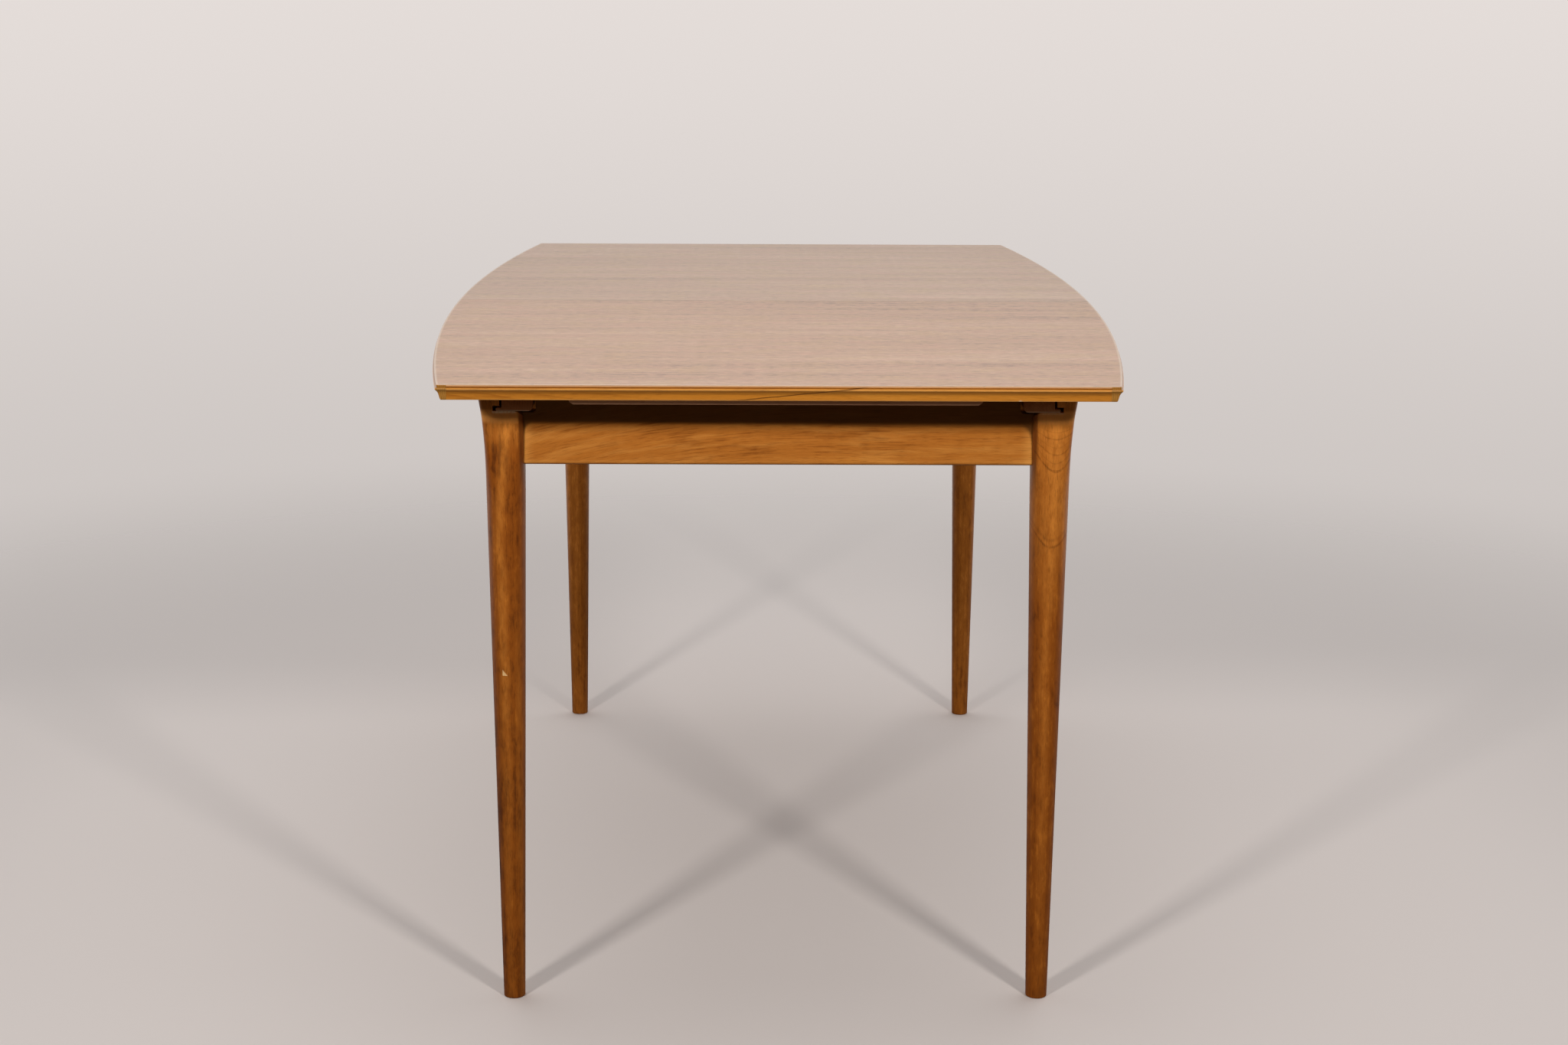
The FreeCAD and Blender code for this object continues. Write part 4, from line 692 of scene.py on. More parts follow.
def leg_wear_and_painted_light(s, col):
    """The step under the runner is pale along its near edge, partly wear and
    partly painted highlight; the near legs' tops get painted light, the flanks
    beside the rails painted shade, and the near left leg a small chip.
    """
    x, y, z = s.xyz(s.coord)
    ax = s.math("ABSOLUTE", x)
    face = s.span(s.math("ABSOLUTE", y), 0.6095, 0.6112, 0.0, 1.0, True)
    # pale step edge: partly wear, partly painted highlight
    floor = s.mul(s.bell(z, 0.6924, 0.0014), s.mul(s.span(ax, 0.2880, 0.2920, 0.0, 1.0), s.span(ax, 0.3165, 0.3150, 0.0, 1.0)))
    broken = s.span(s.noise(s.vmul(s.coord, (260, 260, 260)), 1.0, 2, 0.5), 0.34, 0.52, 0.45, 1.0)
    broken = s.mul(broken, s.mul(s.span(x, 0.20, -0.20, 0.35, 1.0), s.span(y, 0.2, -0.2, 0.5, 1.0)))
    # painted light: the near legs' tops are lightened where the top's shadow falls on them
    painted_light_under_top = s.mul(s.span(z, 0.6775, 0.6860, 0.0, 0.62, True), s.span(z, 0.6960, 0.6930, 0.0, 1.0))
    painted_light_under_top = s.mul(painted_light_under_top, s.mul(s.span(y, -0.600, -0.6085, 0.0, 1.0, True), s.span(ax, 0.2850, 0.2900, 0.0, 1.0, True)))
    col = s.mix(painted_light_under_top, col, lin(250, 172, 92))
    # painted shade in the flanks beside the rails
    flank = s.mul(s.span(ax, 0.2882, 0.2858, 0.0, 0.68, True), s.span(z, 0.590, 0.640, 0.0, 1.0, True))
    col = s.mix(flank, col, lin(84, 44, 18))
    # a small chip low on the near left leg, wider at its foot
    right = s.span(z, 0.3902, 0.3960, -0.3038, -0.3088)
    chip = s.mul(s.mul(s.span(x, -0.3103, -0.3096, 0.0, 1.0), s.span(x, right, s.sub(right, 0.0014), 0.0, 1.0)),
                 s.mul(s.span(z, 0.3895, 0.3903, 0.0, 1.0), s.span(z, 0.3970, 0.3960, 0.0, 1.0)))
    col = s.mix(s.mul(chip, s.span(y, -0.590, -0.60, 0.0, 0.95)), col, lin(238, 196, 138))
    # the pale step edge, partly wear and partly painted highlight, goes on last
    return s.mix(s.mul(s.mul(face, floor), broken), col, lin(255, 224, 186))


LEG = dict(light=lin(184, 106, 34), mid=lin(146, 76, 20), dark=lin(88, 38, 10))
FAR_LEG = dict(light=lin(206, 126, 52), mid=lin(170, 98, 34), dark=lin(112, 56, 18))
mat_leg = {}
for name, pith, tilt, shift, strength, figure in (
        ("near_left", (-0.275, -0.640), (0.010, 0.004), 0.13, 0.10, leg_near_left),
        ("near_right", (0.309, -0.560), (-0.006, 0.020), 2.41, 0.10, leg_near_right),
        ("far_left", (-0.340, 0.560), (0.012, 0.010), 5.2, 0.2, plain_figure),
        ("far_right", (0.350, 0.620), (0.015, -0.010), 7.7, 0.2, plain_figure)):
    stain = LEG if name.startswith("near") else FAR_LEG
    mat_leg[name] = solid_wood("leg_wood_" + name, "Z", stain["light"], stain["mid"], stain["dark"], pith=pith,
                               tilt=tilt, ring=0.006, ring_strength=strength, shift=shift, rough=0.42,
                               tone=0.24, coat=0.08, coat_rough=0.22, mottle=1.0, glow=lin(214, 134, 54),
                               figure=figure, finish=leg_wear_and_painted_light).mat
mat_end_rail = solid_wood("end_rail_wood", "X", lin(204, 132, 54), lin(182, 110, 42), lin(128, 68, 22),
                          pith=(0.9, 0.55), tilt=(0.03, 0.045), ring=0.0042, ring_strength=0.22, shift=1.1,
                          tone=0.12, mottle=0.38, sweep=(0.42, 0.05), glow=lin(218, 150, 72), figure=rail_figure,
                          finish=rail_painted_shade).mat
mat_side_rail = solid_wood("side_rail_wood", "Y", lin(204, 130, 50), lin(178, 104, 36), lin(124, 64, 18),
                           pith=(0.42, 0.60), tilt=(0.01, 0.02), ring=0.0042, ring_strength=0.25, shift=3.1,
                           mottle=0.12).mat
mat_rail_back = solid_wood("rail_back_wood", "Y", lin(186, 126, 64), lin(160, 100, 46), lin(110, 62, 26),
                           pith=(0.42, 0.60), tilt=(0.01, 0.02), ring=0.0042, ring_strength=0.25, shift=3.6,
                           rough=0.85, coat=0.0, gloss=0.0, bump=0.6).mat
mat_end_lip = solid_wood("end_lipping_wood", "X", lin(232, 160, 66), lin(210, 134, 44), lin(150, 82, 18),
                         pith=(0.80, 0.66), tilt=(0.05, 0.01), ring=0.0036, ring_strength=0.20, shift=0.4,
                         rough=0.34, coat=0.4, finish=moulding_stain_and_painted_light).mat
mat_side_lip = solid_wood("side_lipping_wood", "Y", lin(230, 158, 64), lin(206, 130, 42), lin(146, 80, 18),
                          pith=(0.45, 0.66), tilt=(0.03, 0.01), ring=0.0036, ring_strength=0.20, shift=4.4,
                          rough=0.34, coat=0.4, finish=moulding_stain_and_painted_light).mat
mat_seam_lip = solid_wood("seam_lipping_wood", "X", lin(206, 132, 44), lin(180, 104, 24), lin(122, 60, 8),
                          pith=(0.80, 0.66), tilt=(0.05, 0.01), ring=0.0036, ring_strength=0.25, shift=2.4,
                          rough=0.34, coat=0.4).mat
mat_end_grain = end_grain("lipping_end_grain", lin(212, 156, 70), lin(176, 120, 44), lin(112, 70, 22)).mat


def edge_highlight_and_seam_dirt_shade(s, col):
    """A painted highlight round the edge, and a darker band along the seam,
    partly dirt and partly painted shade of a slight step between the halves.
    """
    x, y, z = s.xyz(s.coord)
    ax = s.add(s.math("ABSOLUTE", x), SIDE_CX * MM)
    reach = s.math("SQRT", s.add(s.mul(ax, ax), s.mul(y, y)))
    side = s.span(reach, (SIDE_RAD - RIM - 3.0) * MM, (SIDE_RAD - RIM - 1.2) * MM, 0.0, 1.0, True)
    tip = s.span(s.math("ABSOLUTE", y), (HALF_LEN - RIM - 3.2) * MM, (HALF_LEN - RIM - 1.2) * MM, 0.0, 1.0, True)
    # painted highlight along the rounded edge
    col = s.mix(s.mul(s.math("MAXIMUM", side, tip), 0.55), col, lin(232, 210, 190))
    # darker band along the seam: partly dirt, partly painted shade
    seam_dirt_and_shade = s.span(s.noise(s.vec(s.mul(x, 7.0), 0.7, 0.0), 1.0, 3, 0.6), 0.36, 0.62, 0.10, 0.55)
    seam_dirt_and_shade = s.mul(seam_dirt_and_shade, s.span(s.math("ABSOLUTE", x), 0.06, 0.34, 0.55, 1.0))
    return s.mix(s.mul(s.bell(y, 0.0, 0.0038), seam_dirt_and_shade), col, lin(96, 66, 46))


mat_top = {"near": veneer_wood("top_veneer", lin(216, 174, 142), lin(198, 151, 116), lin(144, 98, 72), edges=edge_highlight_and_seam_dirt_shade,
                               contrast=1.28).mat,
           "far": veneer_wood("top_veneer_far", lin(213, 175, 147), lin(196, 155, 124), lin(148, 107, 83), shift=1.9,
                              edges=edge_highlight_and_seam_dirt_shade, contrast=1.1).mat}
mat_leaf_top = veneer_wood("leaf_top_veneer", lin(212, 170, 138), lin(198, 151, 116), lin(146, 100, 74), shift=3.3).mat
mat_runner = solid_wood("runner_wood", "Y", lin(188, 124, 76), lin(158, 96, 54), lin(108, 60, 32),
                        pith=(0.25, 0.66), tilt=(0.01, 0.01), ring=0.003, ring_strength=0.3, shift=6.0,
                        rough=0.7, coat=0.0, bump=0.5, gloss=0.0, finish=runner_wear_and_painted_light).mat
mat_batten = solid_wood("batten_wood", "X", lin(232, 182, 146), lin(212, 156, 120), lin(160, 106, 76),
                        pith=(0.9, 0.6), tilt=(0.02, 0.01), ring=0.003, ring_strength=0.3, shift=6.6,
                        rough=0.5, coat=0.0, bump=0.5, gloss=0.4).mat
mat_inner = solid_wood("inner_wood", "X", lin(222, 186, 136), lin(204, 160, 108), lin(160, 112, 66),
                       pith=(0.3, 0.5), tilt=(0.02, 0.03), ring=0.004, ring_strength=0.4, shift=8.1,
                       rough=0.6, coat=0.0, bump=0.6, gloss=0.3).mat
mat_brace = solid_wood("brace_wood", "Y", lin(218, 178, 124), lin(198, 150, 98), lin(150, 102, 58),
                       pith=(0.2, 0.6), tilt=(0.02, 0.03), ring=0.0045, ring_strength=0.45, shift=9.4,
                       rough=0.6, coat=0.0, bump=0.6, gloss=0.3).mat
mat_steel = metal("screw_steel", (0.62, 0.60, 0.54), (0.40, 0.37, 0.30)).mat
mat_brass = metal("hinge_brass", (0.80, 0.58, 0.24), (0.42, 0.28, 0.11), rough=0.36).mat


# ------------------------------------------------------- moulding of the top
def arc_points(p, q, rad, side, steps):
    """Points of an arc from p to q, side +1 with its centre on the left."""
    dx, dy = q[0] - p[0], q[1] - p[1]
    chord = math.hypot(dx, dy)
    rise = math.sqrt(max(rad * rad - chord * chord / 4, 0))
    cx = (p[0] + q[0]) / 2 - side * dy / chord * rise
    cy = (p[1] + q[1]) / 2 + side * dx / chord * rise
    a0, a1 = math.atan2(p[1] - cy, p[0] - cx), math.atan2(q[1] - cy, q[0] - cx)
    if side > 0:
        while a1 <= a0:
            a1 += 2 * math.pi
    else:
        while a1 >= a0:
            a1 -= 2 * math.pi
    return [(cx + rad * math.cos(a0 + (a1 - a0) * k / steps), cy + rad * math.sin(a0 + (a1 - a0) * k / steps))
            for k in range(steps + 1)]


def moulding():
    """The lipping's show outline as (inset, height above the underside)."""
    z = THICK - VENEER
    # inset grows to the right here; the outline runs downward
    bead = arc_points((1.15, z - 2.8), (0.62, z - 5.4), 1.45, 1, 12)
    cove = arc_points((0.62, z - 5.4), (3.7, z - 9.7), 9.0, -1, 12)
    pts = [(RIM, z), (RIM - 0.02, z - 0.7), (RIM + 0.02, z - 1.20), (RIM + 0.18, z - 1.48), (RIM + 0.62, z - 1.95),
           (RIM + 0.86, z - 2.20), (RIM + 0.86, z - 2.34), (RIM + 0.62, z - 2.45)]
    pts += bead[:-1]
    pts += [(0.66, z - 5.38), (0.84, z - 5.52)]
    pts += cove[2:-1]
    pts += [(3.60, z - 9.52), (3.74, z - 9.72), (3.84, z - 10.05)]
    pts += [(5.2, z - 15.0), (5.55, 1.05), (5.82, 0.42), (6.15, 0.10), (6.5, 0.0)]
    return pts


PROFILE = moulding()
BACK = [(LIP, 0.0), (LIP, THICK - VENEER)]


def y_samples(a, b, n=64):
    return [a + (b - a) * i / n for i in range(n + 1)]


def end_lipping(name, sy):
    rings = []
    loop = PROFILE + BACK
    for f in (-1.0, -0.5, 0.0, 0.5, 1.0):
        ring = []
        for e, h in loop:
            y = HALF_LEN - e
            ring.append((f * (arc_x(LIP, y) - 0.06), sy * y, LOW + h))
        rings.append(ring)
    return finish_mesh(name, skin(rings), 24)


def side_lipping(name, sx, sy):
    """Swept along the side's curve, with the moulding cut across its end."""
    bm = bmesh.new()
    loop = PROFILE + BACK
    grid = []
    last = len(PROFILE) - 1
    for k, (e, h) in enumerate(loop):
        show = k <= last
        e_end = e if show else (PROFILE[last][0] if k == last + 1 else PROFILE[0][0])
        y1 = HALF_LEN - e_end
        x1 = arc_x(e, y1)
        row = []
        round_by = 0.7 if show else 0.0
        for y in y_samples(SEAM, y1 - round_by):
            row.append((arc_x(e, y), y))
        a = Vector((arc_x(e, y1 - round_by), y1 - round_by))
        c = Vector((x1, y1))
        b = Vector((x1 - round_by, y1))
        for t in (0.2, 0.4, 0.6, 0.8):
            m = a * (1 - t) ** 2 + c * 2 * t * (1 - t) + b * t * t
            row.append((m.x, m.y))
        row.append((b.x, b.y))
        row.append((arc_x(LIP, y1) if show else b.x, y1))
        grid.append([(sx * x, sy * y, LOW + h) for x, y in row])
    verts = [[bm.verts.new(p) for p in row] for row in grid]
    n, m = len(grid), len(grid[0])
    for i in range(n):
        a, b = verts[i], verts[(i + 1) % n]
        for j in range(m - 1):
            f = bm.faces.new((a[j], a[j + 1], b[j + 1], b[j]))
            if j >= m - 3 and i < last:
                f.material_index = 1
    bm.faces.new([row[0] for row in verts])
    bm.faces.new([row[-1] for row in verts])
    return finish_mesh(name, bm, 24)


def plan_outline(inset, y_in, y_out, sy):
    ys = y_samples(y_in, y_out)
    pts = [(arc_x(inset, y), sy * y) for y in ys]
    pts += [(-x, y) for x, y in reversed(pts)]
    return ccw(pts)


for end, sy in ENDS:
    body = end + "_half"
    settle(end_lipping("end_edge_" + end, sy), body, end + "_end_lipping", "moulding_wood", mat_end_lip)
    for side, sx in SIDES:
        settle(side_lipping("side_edge_%s_%s" % (end, side), sx, sy), body,
               "%s_side_lipping_%s" % (end, side), "moulding_wood", mat_side_lip, mat_end_grain)
    settle(slab("top_sheet_" + end, plan_outline(RIM, SEAM, HALF_LEN - RIM, sy), CORE_TOP, TOP, 0.34), body,
           end + "_top_veneer", "top_veneer", mat_top[end])


# --------------------------------------------------------------------- legs
LEG_ROWS = [  # height, reach outwards, reach inwards, half depth, corner, crown, then the
    # corners on the middle's side: their width, depth and turn in degrees
    (600.0, 21.9, 21.9, 21.9, 21.9 * 0.61731656763, 21.9 * 0.07612046749, 21.9 * 0.61731656763, 21.9 * 0.61731656763, 45.0),
    (640.0, 22.5, 22.1, 22.0, 10.5, 0.95, 9.0, 11.6, 50.0),
    (681.0, 24.8, 22.1, 22.0, 8.0, 0.6, 5.6, 11.6, 38.0),
    (704.0, 28.1, 22.1, 22.0, 7.2, 0.5, 5.2, 11.6, 36.0),
    (720.5, 30.6, 22.1, 22.0, 6.8, 0.5, 5.2, 11.6, 36.0)]


def leg_row(z):
    """The block's section at a height, through the given ones."""
    zs = [r[0] for r in LEG_ROWS]
    i = max(0, min(len(zs) - 2, next((k for k in range(len(zs) - 1) if z <= zs[k + 1]), len(zs) - 2)))
    z0, z1 = zs[i], zs[i + 1]
    t = (z - z0) / (z1 - z0)
    out = []
    for c in range(1, 9):
        p = [r[c] for r in LEG_ROWS]

        def slope(k):
            if k == 0:
                return (p[1] - p[0]) / (zs[1] - zs[0]) * (0.5 if c < 4 else 1.0)
            if k == len(p) - 1:
                return (p[k] - p[k - 1]) / (zs[k] - zs[k - 1])
            a = (p[k] - p[k - 1]) / (zs[k] - zs[k - 1])
            b = (p[k + 1] - p[k]) / (zs[k + 1] - zs[k])
            return 0.0 if a * b <= 0 else 2 * a * b / (a + b)
        m0, m1 = slope(i), slope(i + 1)
        h = z1 - z0
        out.append((2 * t ** 3 - 3 * t ** 2 + 1) * p[i] + (t ** 3 - 2 * t ** 2 + t) * h * m0
                   + (-2 * t ** 3 + 3 * t ** 2) * p[i + 1] + (t ** 3 - t ** 2) * h * m1)
    return out


def squared_circle(out_x, in_x, half_y, cutb, crown, wide, deep, flank, sx, steps=8):
    xa, xb = (out_x, in_x) if sx > 0 else (in_x, out_x)
    (wa, da), (wb, db) = ((cutb, cutb), (wide, deep)) if sx > 0 else ((wide, deep), (cutb, cutb))
    pts = [(xa - crown, -half_y + da), (xa - crown, half_y - da),
           (xa - wa, half_y - crown), (-xb + wb, half_y - crown),
           (-xb + crown, half_y - db), (-xb + crown, -half_y + db),
           (-xb + wb, -half_y + crown), (xa - wa, -half_y + crown)]
    loop = []
    for i in range(8):
        p, q = pts[i], pts[(i + 1) % 8]
        chord = math.hypot(q[0] - p[0], q[1] - p[1])
        if i % 2 == 0:
            rad = (chord * chord / 4 + crown * crown) / (2 * crown)
        else:
            side_x = (xa + xb - 2 * cutb) / 2
            side_y = (2 * half_y - 2 * cutb) / 2
            turn = math.pi / 2 - 2 * math.atan2(crown, side_x) - 2 * math.atan2(crown, side_y)
            if i in ((3, 5) if sx > 0 else (1, 7)):
                turn = math.radians(flank)
            rad = chord / (2 * math.sin(turn / 2))
        loop += arc_points(p, q, rad, 1, steps)[:-1]
    return loop


def leg_ring(z, sx):
    if z >= 600.0:
        return squared_circle(*leg_row(z), sx)
    r = 12.3 + (21.9 - 12.3) * z / 600.0
    if z < 1.5:
        r = (12.3 - 1.5) + math.sqrt(max(1.5 ** 2 - (1.5 - z) ** 2, 0.0))
    cut = r * 0.61731656763
    return squared_circle(r, r, r, cut, r * 0.07612046749, cut, cut, 45.0, sx)


def end_rail_loop(grow=0.0):
    """Section of the end rail's ends, as (y from its middle, z)."""
    g = grow
    return soften([(-10 - g, 631 - g), (10 + g, 631 - g), (10 + g, 690 + g), (-10 - g, 690 + g)],
                  [4 + g, 4 + g, 0, 0], 6)


def side_rail_loop(sx, grow=0.0):
    """Side rail section as (x, z)."""
    g = grow
    pts = [(298 - g, 631 - g), (322 + g, 631 - g), (322 + g, 720.5 + g), (308.2 - g, 720.5 + g),
           (308.2 - g, 699 - g), (315.6 - g, 699 - g), (315.6 - g, 693 + g), (298 - g, 693 + g)]
    radii = [3 + g, 4 + g, 2 + g, 0.5, 0.5, 0.3, 0.3, 0.8]
    loop = soften(pts, radii, 5)
    return [(sx * x, z) for x, z in loop]


def make_leg(name, sx, sy, mat, node):
    zs = [0.0, 0.1, 0.3, 0.6, 1.0, 1.5, 3, 10, 40, 80, 120, 160, 200, 240, 280, 320, 360, 400, 440, 480, 520,
          560, 580, 590, 596, 600]
    z = 600
    while z < 719.9:
        z = min(z + 4.0, 720.1)
        zs.append(z)
    rings = [[(sx * LEG_X + x, sy * LEG_Y + y, z) for x, y in leg_ring(z, sx)] for z in zs]
    top = leg_ring(720.5, sx)
    rings.append([(sx * LEG_X + x, sy * LEG_Y + y, 720.4) for x, y in inset_loop(top, 0.15)])
    rings.append([(sx * LEG_X + x, sy * LEG_Y + y, 720.5) for x, y in inset_loop(top, 0.45)])
    leg = finish_mesh(name, skin(rings), 50, weighted=False)
    # notch and groove for the runner, with a rounded inner shoulder
    p = [(4.2, 760), (4.2, 699), (11.6, 699), (11.6, 693)]
    p += [(-11.4 - 10.4 * math.sin(math.pi / 2 * k / 10), 682.6 + 10.4 * math.cos(math.pi / 2 * k / 10)) for k in range(11)]
    p += [(-34, 682.6), (-34, 760)]
    loop = ccw([(sx * (LEG_X + x), z) for x, z in p])
    c1 = finish_mesh("cut_a", skin([[(x, y, z) for x, z in loop] for y in (sy * LEG_Y - 40, sy * LEG_Y + 40)]), 10, False)
    # housings for the rails, a hair larger than the rails
    loop = ccw(end_rail_loop(0.18))
    x0, x1 = sorted((sx * (LEG_X - 60), sx * (LEG_X - 18.9)))
    c2 = finish_mesh("cut_b", skin([[(x, sy * LEG_Y + y, z) for y, z in loop] for x in (x0, x1)]), 10, False)
    loop = ccw(side_rail_loop(sx, 0.15))
    y0, y1 = sorted((sy * (LEG_Y - 60), sy * (LEG_Y - 16.0)))
    c3 = finish_mesh("cut_c", skin([[(x, y, z) for x, z in loop] for y in (y0, y1)]), 10, False)
    carve(leg, c1, c2, c3)
    arris(leg, 0.75, lambda a, b: min(a.z, b.z) > 625, 40)
    return settle(leg, "frame", node, "leg_wood", mat)


for end, sy in ENDS:
    for side, sx in SIDES:
        key = "%s_%s" % (end, side)
        make_leg("leg_%s_turned" % key, sx, sy, mat_leg[key], "leg_" + key)

# -------------------------------------------------------------------- rails
for end, sy in ENDS:
    # full height in the middle, stepped down under the runners at both ends
    loop = soften([(-10, 631), (10, 631), (10, 720.5), (-10, 720.5)], [4, 4, 2, 2], 6)
    loop = [(sy * LEG_Y + y, z) for y, z in loop]
    ob = finish_mesh("end_rail_%s_board" % end, rolled(loop, along_x, -284.8, 284.8, 0.3), 40, False)
    cuts = []
    for sx in (-1, 1):
        step = soften([(268.8, 690.0), (310.0, 690.0), (310.0, 740.0), (268.8, 740.0)], [4, 0, 0, 0], 6)
        step = ccw([(sx * x, z) for x, z in step])
        cuts.append(finish_mesh("cut_s%d" % sx, skin([[(x, sy * LEG_Y + y, z) for x, z in step] for y in (-30, 30)]), 10, False))
    carve(ob, *cuts)
    arris(ob, 0.6, lambda a, b: min(a.z, b.z) > 689 and min(abs(a.x), abs(b.x)) > 268, 40)
    for p in ob.data.polygons:
        p.material_index = 1 if p.normal.y * sy < -0.6 else 0
    settle(ob, "frame", "end_rail_" + end, "rail_wood", mat_end_rail, mat_rail_back)
for side, sx in SIDES:
    ob = finish_mesh("side_rail_%s_board" % side, rolled(side_rail_loop(sx), along_y, -573.8, 573.8, 0.2), 40)
    for p in ob.data.polygons:
        inside = p.center.z > 0.6929 and p.center.x * sx < 0.3158
        p.material_index = 1 if inside or p.normal.x * sx < -0.6 else 0
    settle(ob, "frame", "side_rail_" + side, "rail_wood", mat_side_rail, mat_rail_back)


# ------------------------------------------------------------ runners, batten
def drill(name, x, y, z0, z1, r, n=32):
    ring = [(x + r * math.cos(2 * math.pi * i / n), y + r * math.sin(2 * math.pi * i / n)) for i in range(n)]
    return finish_mesh(name, skin([[(a, b, z) for a, b in ring] for z in (z0, z1)]), 10, False)


for end, sy in ENDS:
    body = end + "_half"
    for side, sx in SIDES:
        pts = [(271.3, LOW), (271.3, 693.3), (312.0, 693.3), (312.0, 697.0), (305.7, 697.0), (305.7, LOW)]
        loop = soften(pts, [0.4, 5.5, 1.0, 1.0, 0.6, 0.4], 6)
        loop = [(sx * x, z) for x, z in loop]
        a, b = sorted((sy * 6.0, sy * 612.0))
        ob = finish_mesh("slide_%s_%s" % (end, side), rolled(loop, along_y, a, b, 0.9, 4), 45, False)
        cuts = [drill("cut_%d" % i, sx * 288.0, sy * y, 680, 705.3, 4.2) for i, y in enumerate((80, 240, 420, 560))]
        carve(ob, *cuts)
        arris(ob, 0.25, lambda a, b: max(a.z, b.z) < 693.6 and 283 < min(abs(a.x), abs(b.x)) and max(abs(a.x), abs(b.x)) < 293
              and max(abs(a.y), abs(b.y)) < 600, 60, 2)
        settle(ob, body, "%s_runner_%s" % (end, side), "runner_wood", mat_runner)
    # batten: bevelled ends, softened lower outer edge
    zs = [(0, 0.0), (3.0, 4.0), (8.8, 5.0)]
    y_in, y_out = 640.0, 690.0
    left = 3.5 if end == "near" else 0.0
    sec = soften([(x - left, z) for x, z in ((-222.9, LOW), (-222.0, 716.8), (-218.0, 713.8), (218.0, 713.8),
                                             (222.0, 716.8), (222.9, LOW))],
                 [0.2, 0.8, 1.2, 1.2, 0.8, 0.2], 4)
    a, b = sorted((sy * y_in, sy * y_out))
    ob = finish_mesh("batten_%s" % end, rolled(sec, along_y, a, b, 0.5, 3), 45, False)
    wedge = [(sy * (y_out - 2.2), 711.6), (sy * (y_out - 2.2), 713.6), (sy * (y_out + 1), 716.8), (sy * (y_out + 1), 711.6)]
    c = finish_mesh("cut_w", skin([[(x, y, z) for y, z in ccw(wedge)] for x in (-240, 240)]), 10, False)
    cuts = [drill("cut_%d" % i, x, sy * 665.0, 705, 717.0, 4.2) for i, x in enumerate((-190, -64, 64, 190))]
    carve(ob, c, *cuts)
    arris(ob, 0.25, lambda a, b: max(a.z, b.z) < 717.1, 30, 2)
    settle(ob, body, end + "_end_batten", "runner_wood", mat_batten)

# --------------------------------------------------------------- folded leaf
LEAF = [("lower", 654.2, True), ("upper", 672.3, False)]
for which, base, down in LEAF:
    z0, z1 = (base, base + VENEER) if down else (base + THICK - VENEER, base + THICK)
    out = [(-209.5 + RIM, -228.0), (209.5, -228.0), (209.5, 228.0), (-209.5 + RIM, 228.0)]
    settle(slab("leaf_sheet_" + which, out, z0, z1, 0.3), "folded_leaf", "leaf_%s_veneer" % which, "top_veneer", mat_leaf_top)
    loop = []
    for e, h in PROFILE + BACK:
        loop.append((e - 209.5, base + (THICK - h if down else h)))
    ob = finish_mesh("leaf_edge_" + which, rolled(loop, along_y, -228.0, 228.0, 0.12, 2), 24)
    settle(ob, "folded_leaf", "leaf_%s_end_lipping" % which, "moulding_wood", mat_side_lip)

# --------------------------------------- carried-over pieces of the assembly
KEEP = [
    (("near_top_core", "far_top_core", "leaf_lower_core", "leaf_upper_core"), mat_inner),
    (("near_under_veneer", "far_under_veneer"), mat_inner),
    (("near_seam_lipping", "far_seam_lipping", "leaf_lower_seam_lippings", "leaf_upper_seam_lippings"), mat_seam_lip),
    (("near_runner_stops", "far_runner_stops"), mat_runner),
    (("leaf_bearer_near", "leaf_bearer_far"), mat_inner),
    (("corner_brace_near_left", "corner_brace_near_right", "corner_brace_far_left", "corner_brace_far_right"), mat_brace),
    (("seam_dowels", "leaf_dowels"), mat_brace),
    (("brace_screws", "near_runner_screws", "far_runner_screws", "near_batten_screws", "far_batten_screws"), mat_steel),
    (("leaf_hinge_plates_lower", "leaf_hinge_plates_upper", "leaf_hinge_pins"), mat_brass),
]
for names, mat in KEEP:
    for n in names:
        ob = NODES[n]
        ob.data.materials.clear()
        ob.data.materials.append(mat)


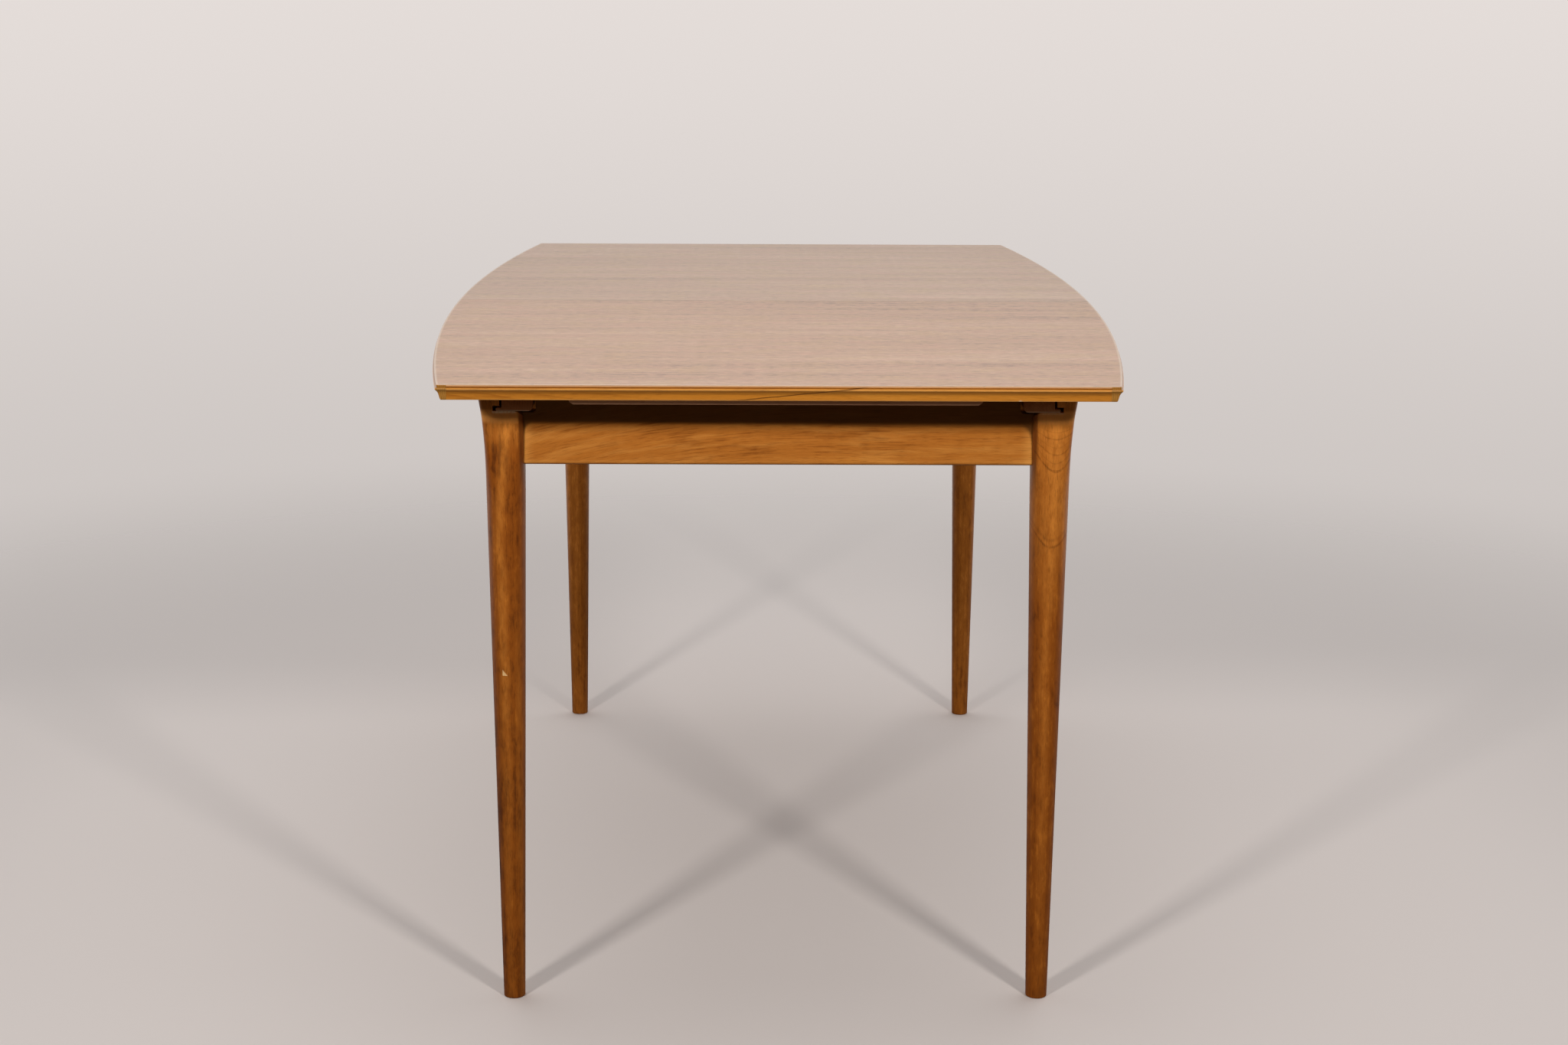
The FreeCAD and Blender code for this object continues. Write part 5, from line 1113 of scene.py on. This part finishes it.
# --------------------------------------------------------------------- stage
def stage_floor():
    bm = bmesh.new()
    n = 96
    rows = []
    for r in (0.0, 1.5, 3.0, 5.0, 7.0):
        rows.append([bm.verts.new((r * math.cos(2 * math.pi * i / n), r * math.sin(2 * math.pi * i / n), 0.0))
                     for i in range(n)] if r else [bm.verts.new((0, 0, 0))])
    for i in range(n):
        bm.faces.new((rows[0][0], rows[1][i], rows[1][(i + 1) % n]))
    for a, b in zip(rows[1:], rows[2:]):
        for i in range(n):
            bm.faces.new((a[i], b[i], b[(i + 1) % n], a[(i + 1) % n]))
    me = bpy.data.meshes.new("floor")
    bm.to_mesh(me)
    bm.free()
    ob = bpy.data.objects.new("floor", me)
    scene.collection.objects.link(ob)
    s = Shade("stage_floor")
    x, y, z = s.xyz(s.coord)
    cloud = s.noise(s.vmul(s.coord, (0.6, 0.6, 0.6)), 1.0, 2, 0.5)
    pale = s.ramp(cloud, [(0.3, (0.87, 0.80, 0.775)), (0.7, (0.90, 0.83, 0.805))])
    # little light comes back up from it, as in a room with a dark carpet
    seen = s.t.nodes.new("ShaderNodeLightPath").outputs["Is Camera Ray"]
    s.set(color=s.mix(seen, (0.20, 0.18, 0.16), pale), rough=0.7, level=0.2)
    # the floor fades into the backdrop, and is open from below
    far = s.math("SQRT", s.add(s.mul(x, x), s.mul(y, y)))
    fade = s.span(far, 1.1, 3.0, 0.0, 1.0, True)
    geo = s.t.nodes.new("ShaderNodeNewGeometry")
    hide = s.math("MAXIMUM", fade, geo.outputs["Backfacing"])
    clear = s.t.nodes.new("ShaderNodeBsdfTransparent")
    mix = s.t.nodes.new("ShaderNodeMixShader")
    s.put(mix.inputs[0], hide)
    s.t.links.new(s.bsdf.outputs[0], mix.inputs[1])
    s.t.links.new(clear.outputs[0], mix.inputs[2])
    s.t.links.new(mix.outputs[0], s.out.inputs["Surface"])
    me.materials.append(s.mat)


def soft_light(name, at, aim, size, watts, color=(1, 1, 1), spread=180):
    li = bpy.data.lights.new(name, "AREA")
    li.shape, li.size, li.size_y = "RECTANGLE", size[0], size[1]
    li.energy, li.color = watts, color
    li.spread = math.radians(spread)
    ob = bpy.data.objects.new(name, li)
    scene.collection.objects.link(ob)
    ob.location = at
    ob.rotation_euler = (Vector(aim) - Vector(at)).to_track_quat("-Z", "Y").to_euler()
    return ob


def studio_world(front, back):
    """A pale backdrop, whose light comes mostly from beyond the far end."""
    world = bpy.data.worlds.new("studio")
    world.use_nodes = True
    t = world.node_tree
    t.nodes.clear()
    out = t.nodes.new("ShaderNodeOutputWorld")
    shown, light = t.nodes.new("ShaderNodeBackground"), t.nodes.new("ShaderNodeBackground")
    shown.inputs[0].default_value = (0.785, 0.728, 0.700, 1.0)
    sep = t.nodes.new("ShaderNodeSeparateXYZ")
    t.links.new(t.nodes.new("ShaderNodeTexCoord").outputs["Generated"], sep.inputs[0])
    sky = t.nodes.new("ShaderNodeMapRange")
    sky.interpolation_type = "SMOOTHSTEP"
    for k, v in (("From Min", -0.24), ("From Max", 0.02), ("To Min", 0.76), ("To Max", 1.0)):
        sky.inputs[k].default_value = v
    t.links.new(sep.outputs[2], sky.inputs["Value"])
    t.links.new(sky.outputs[0], shown.inputs[1])
    depth = t.nodes.new("ShaderNodeMapRange")
    depth.interpolation_type = "SMOOTHSTEP"
    for k, v in (("From Min", -0.35), ("From Max", 0.65), ("To Min", front), ("To Max", back)):
        depth.inputs[k].default_value = v
    t.links.new(sep.outputs[1], depth.inputs["Value"])
    t.links.new(depth.outputs[0], light.inputs[1])
    light.inputs[0].default_value = (1.0, 0.99, 0.975, 1.0)
    mix = t.nodes.new("ShaderNodeMixShader")
    t.links.new(t.nodes.new("ShaderNodeLightPath").outputs["Is Camera Ray"], mix.inputs[0])
    t.links.new(light.outputs[0], mix.inputs[1])
    t.links.new(shown.outputs[0], mix.inputs[2])
    t.links.new(mix.outputs[0], out.inputs[0])
    scene.world = world


stage_floor()
studio_world(0.06, 0.78)
soft_light("key_left", (-1.70, -3.3, 1.87), (-0.1, -0.4, 0.95), (0.34, 0.34), 8.8, (1.0, 0.965, 0.92), 70)
soft_light("key_right", (1.55, -3.3, 1.95), (0.1, -0.4, 0.95), (0.34, 0.34), 8.8, (1.0, 0.965, 0.92), 70)
soft_light("overhead", (0, 0.2, 3.2), (0, 0.1, 0.7), (3.0, 3.0), 20)
fill = soft_light("fill_below", (0, 0, 0.03), (0, 0, 0.7), (0.8, 1.0), 0.07)
fill.visible_camera = fill.visible_glossy = False
scene.view_settings.view_transform = "Standard"

bpy.context.view_layer.update()
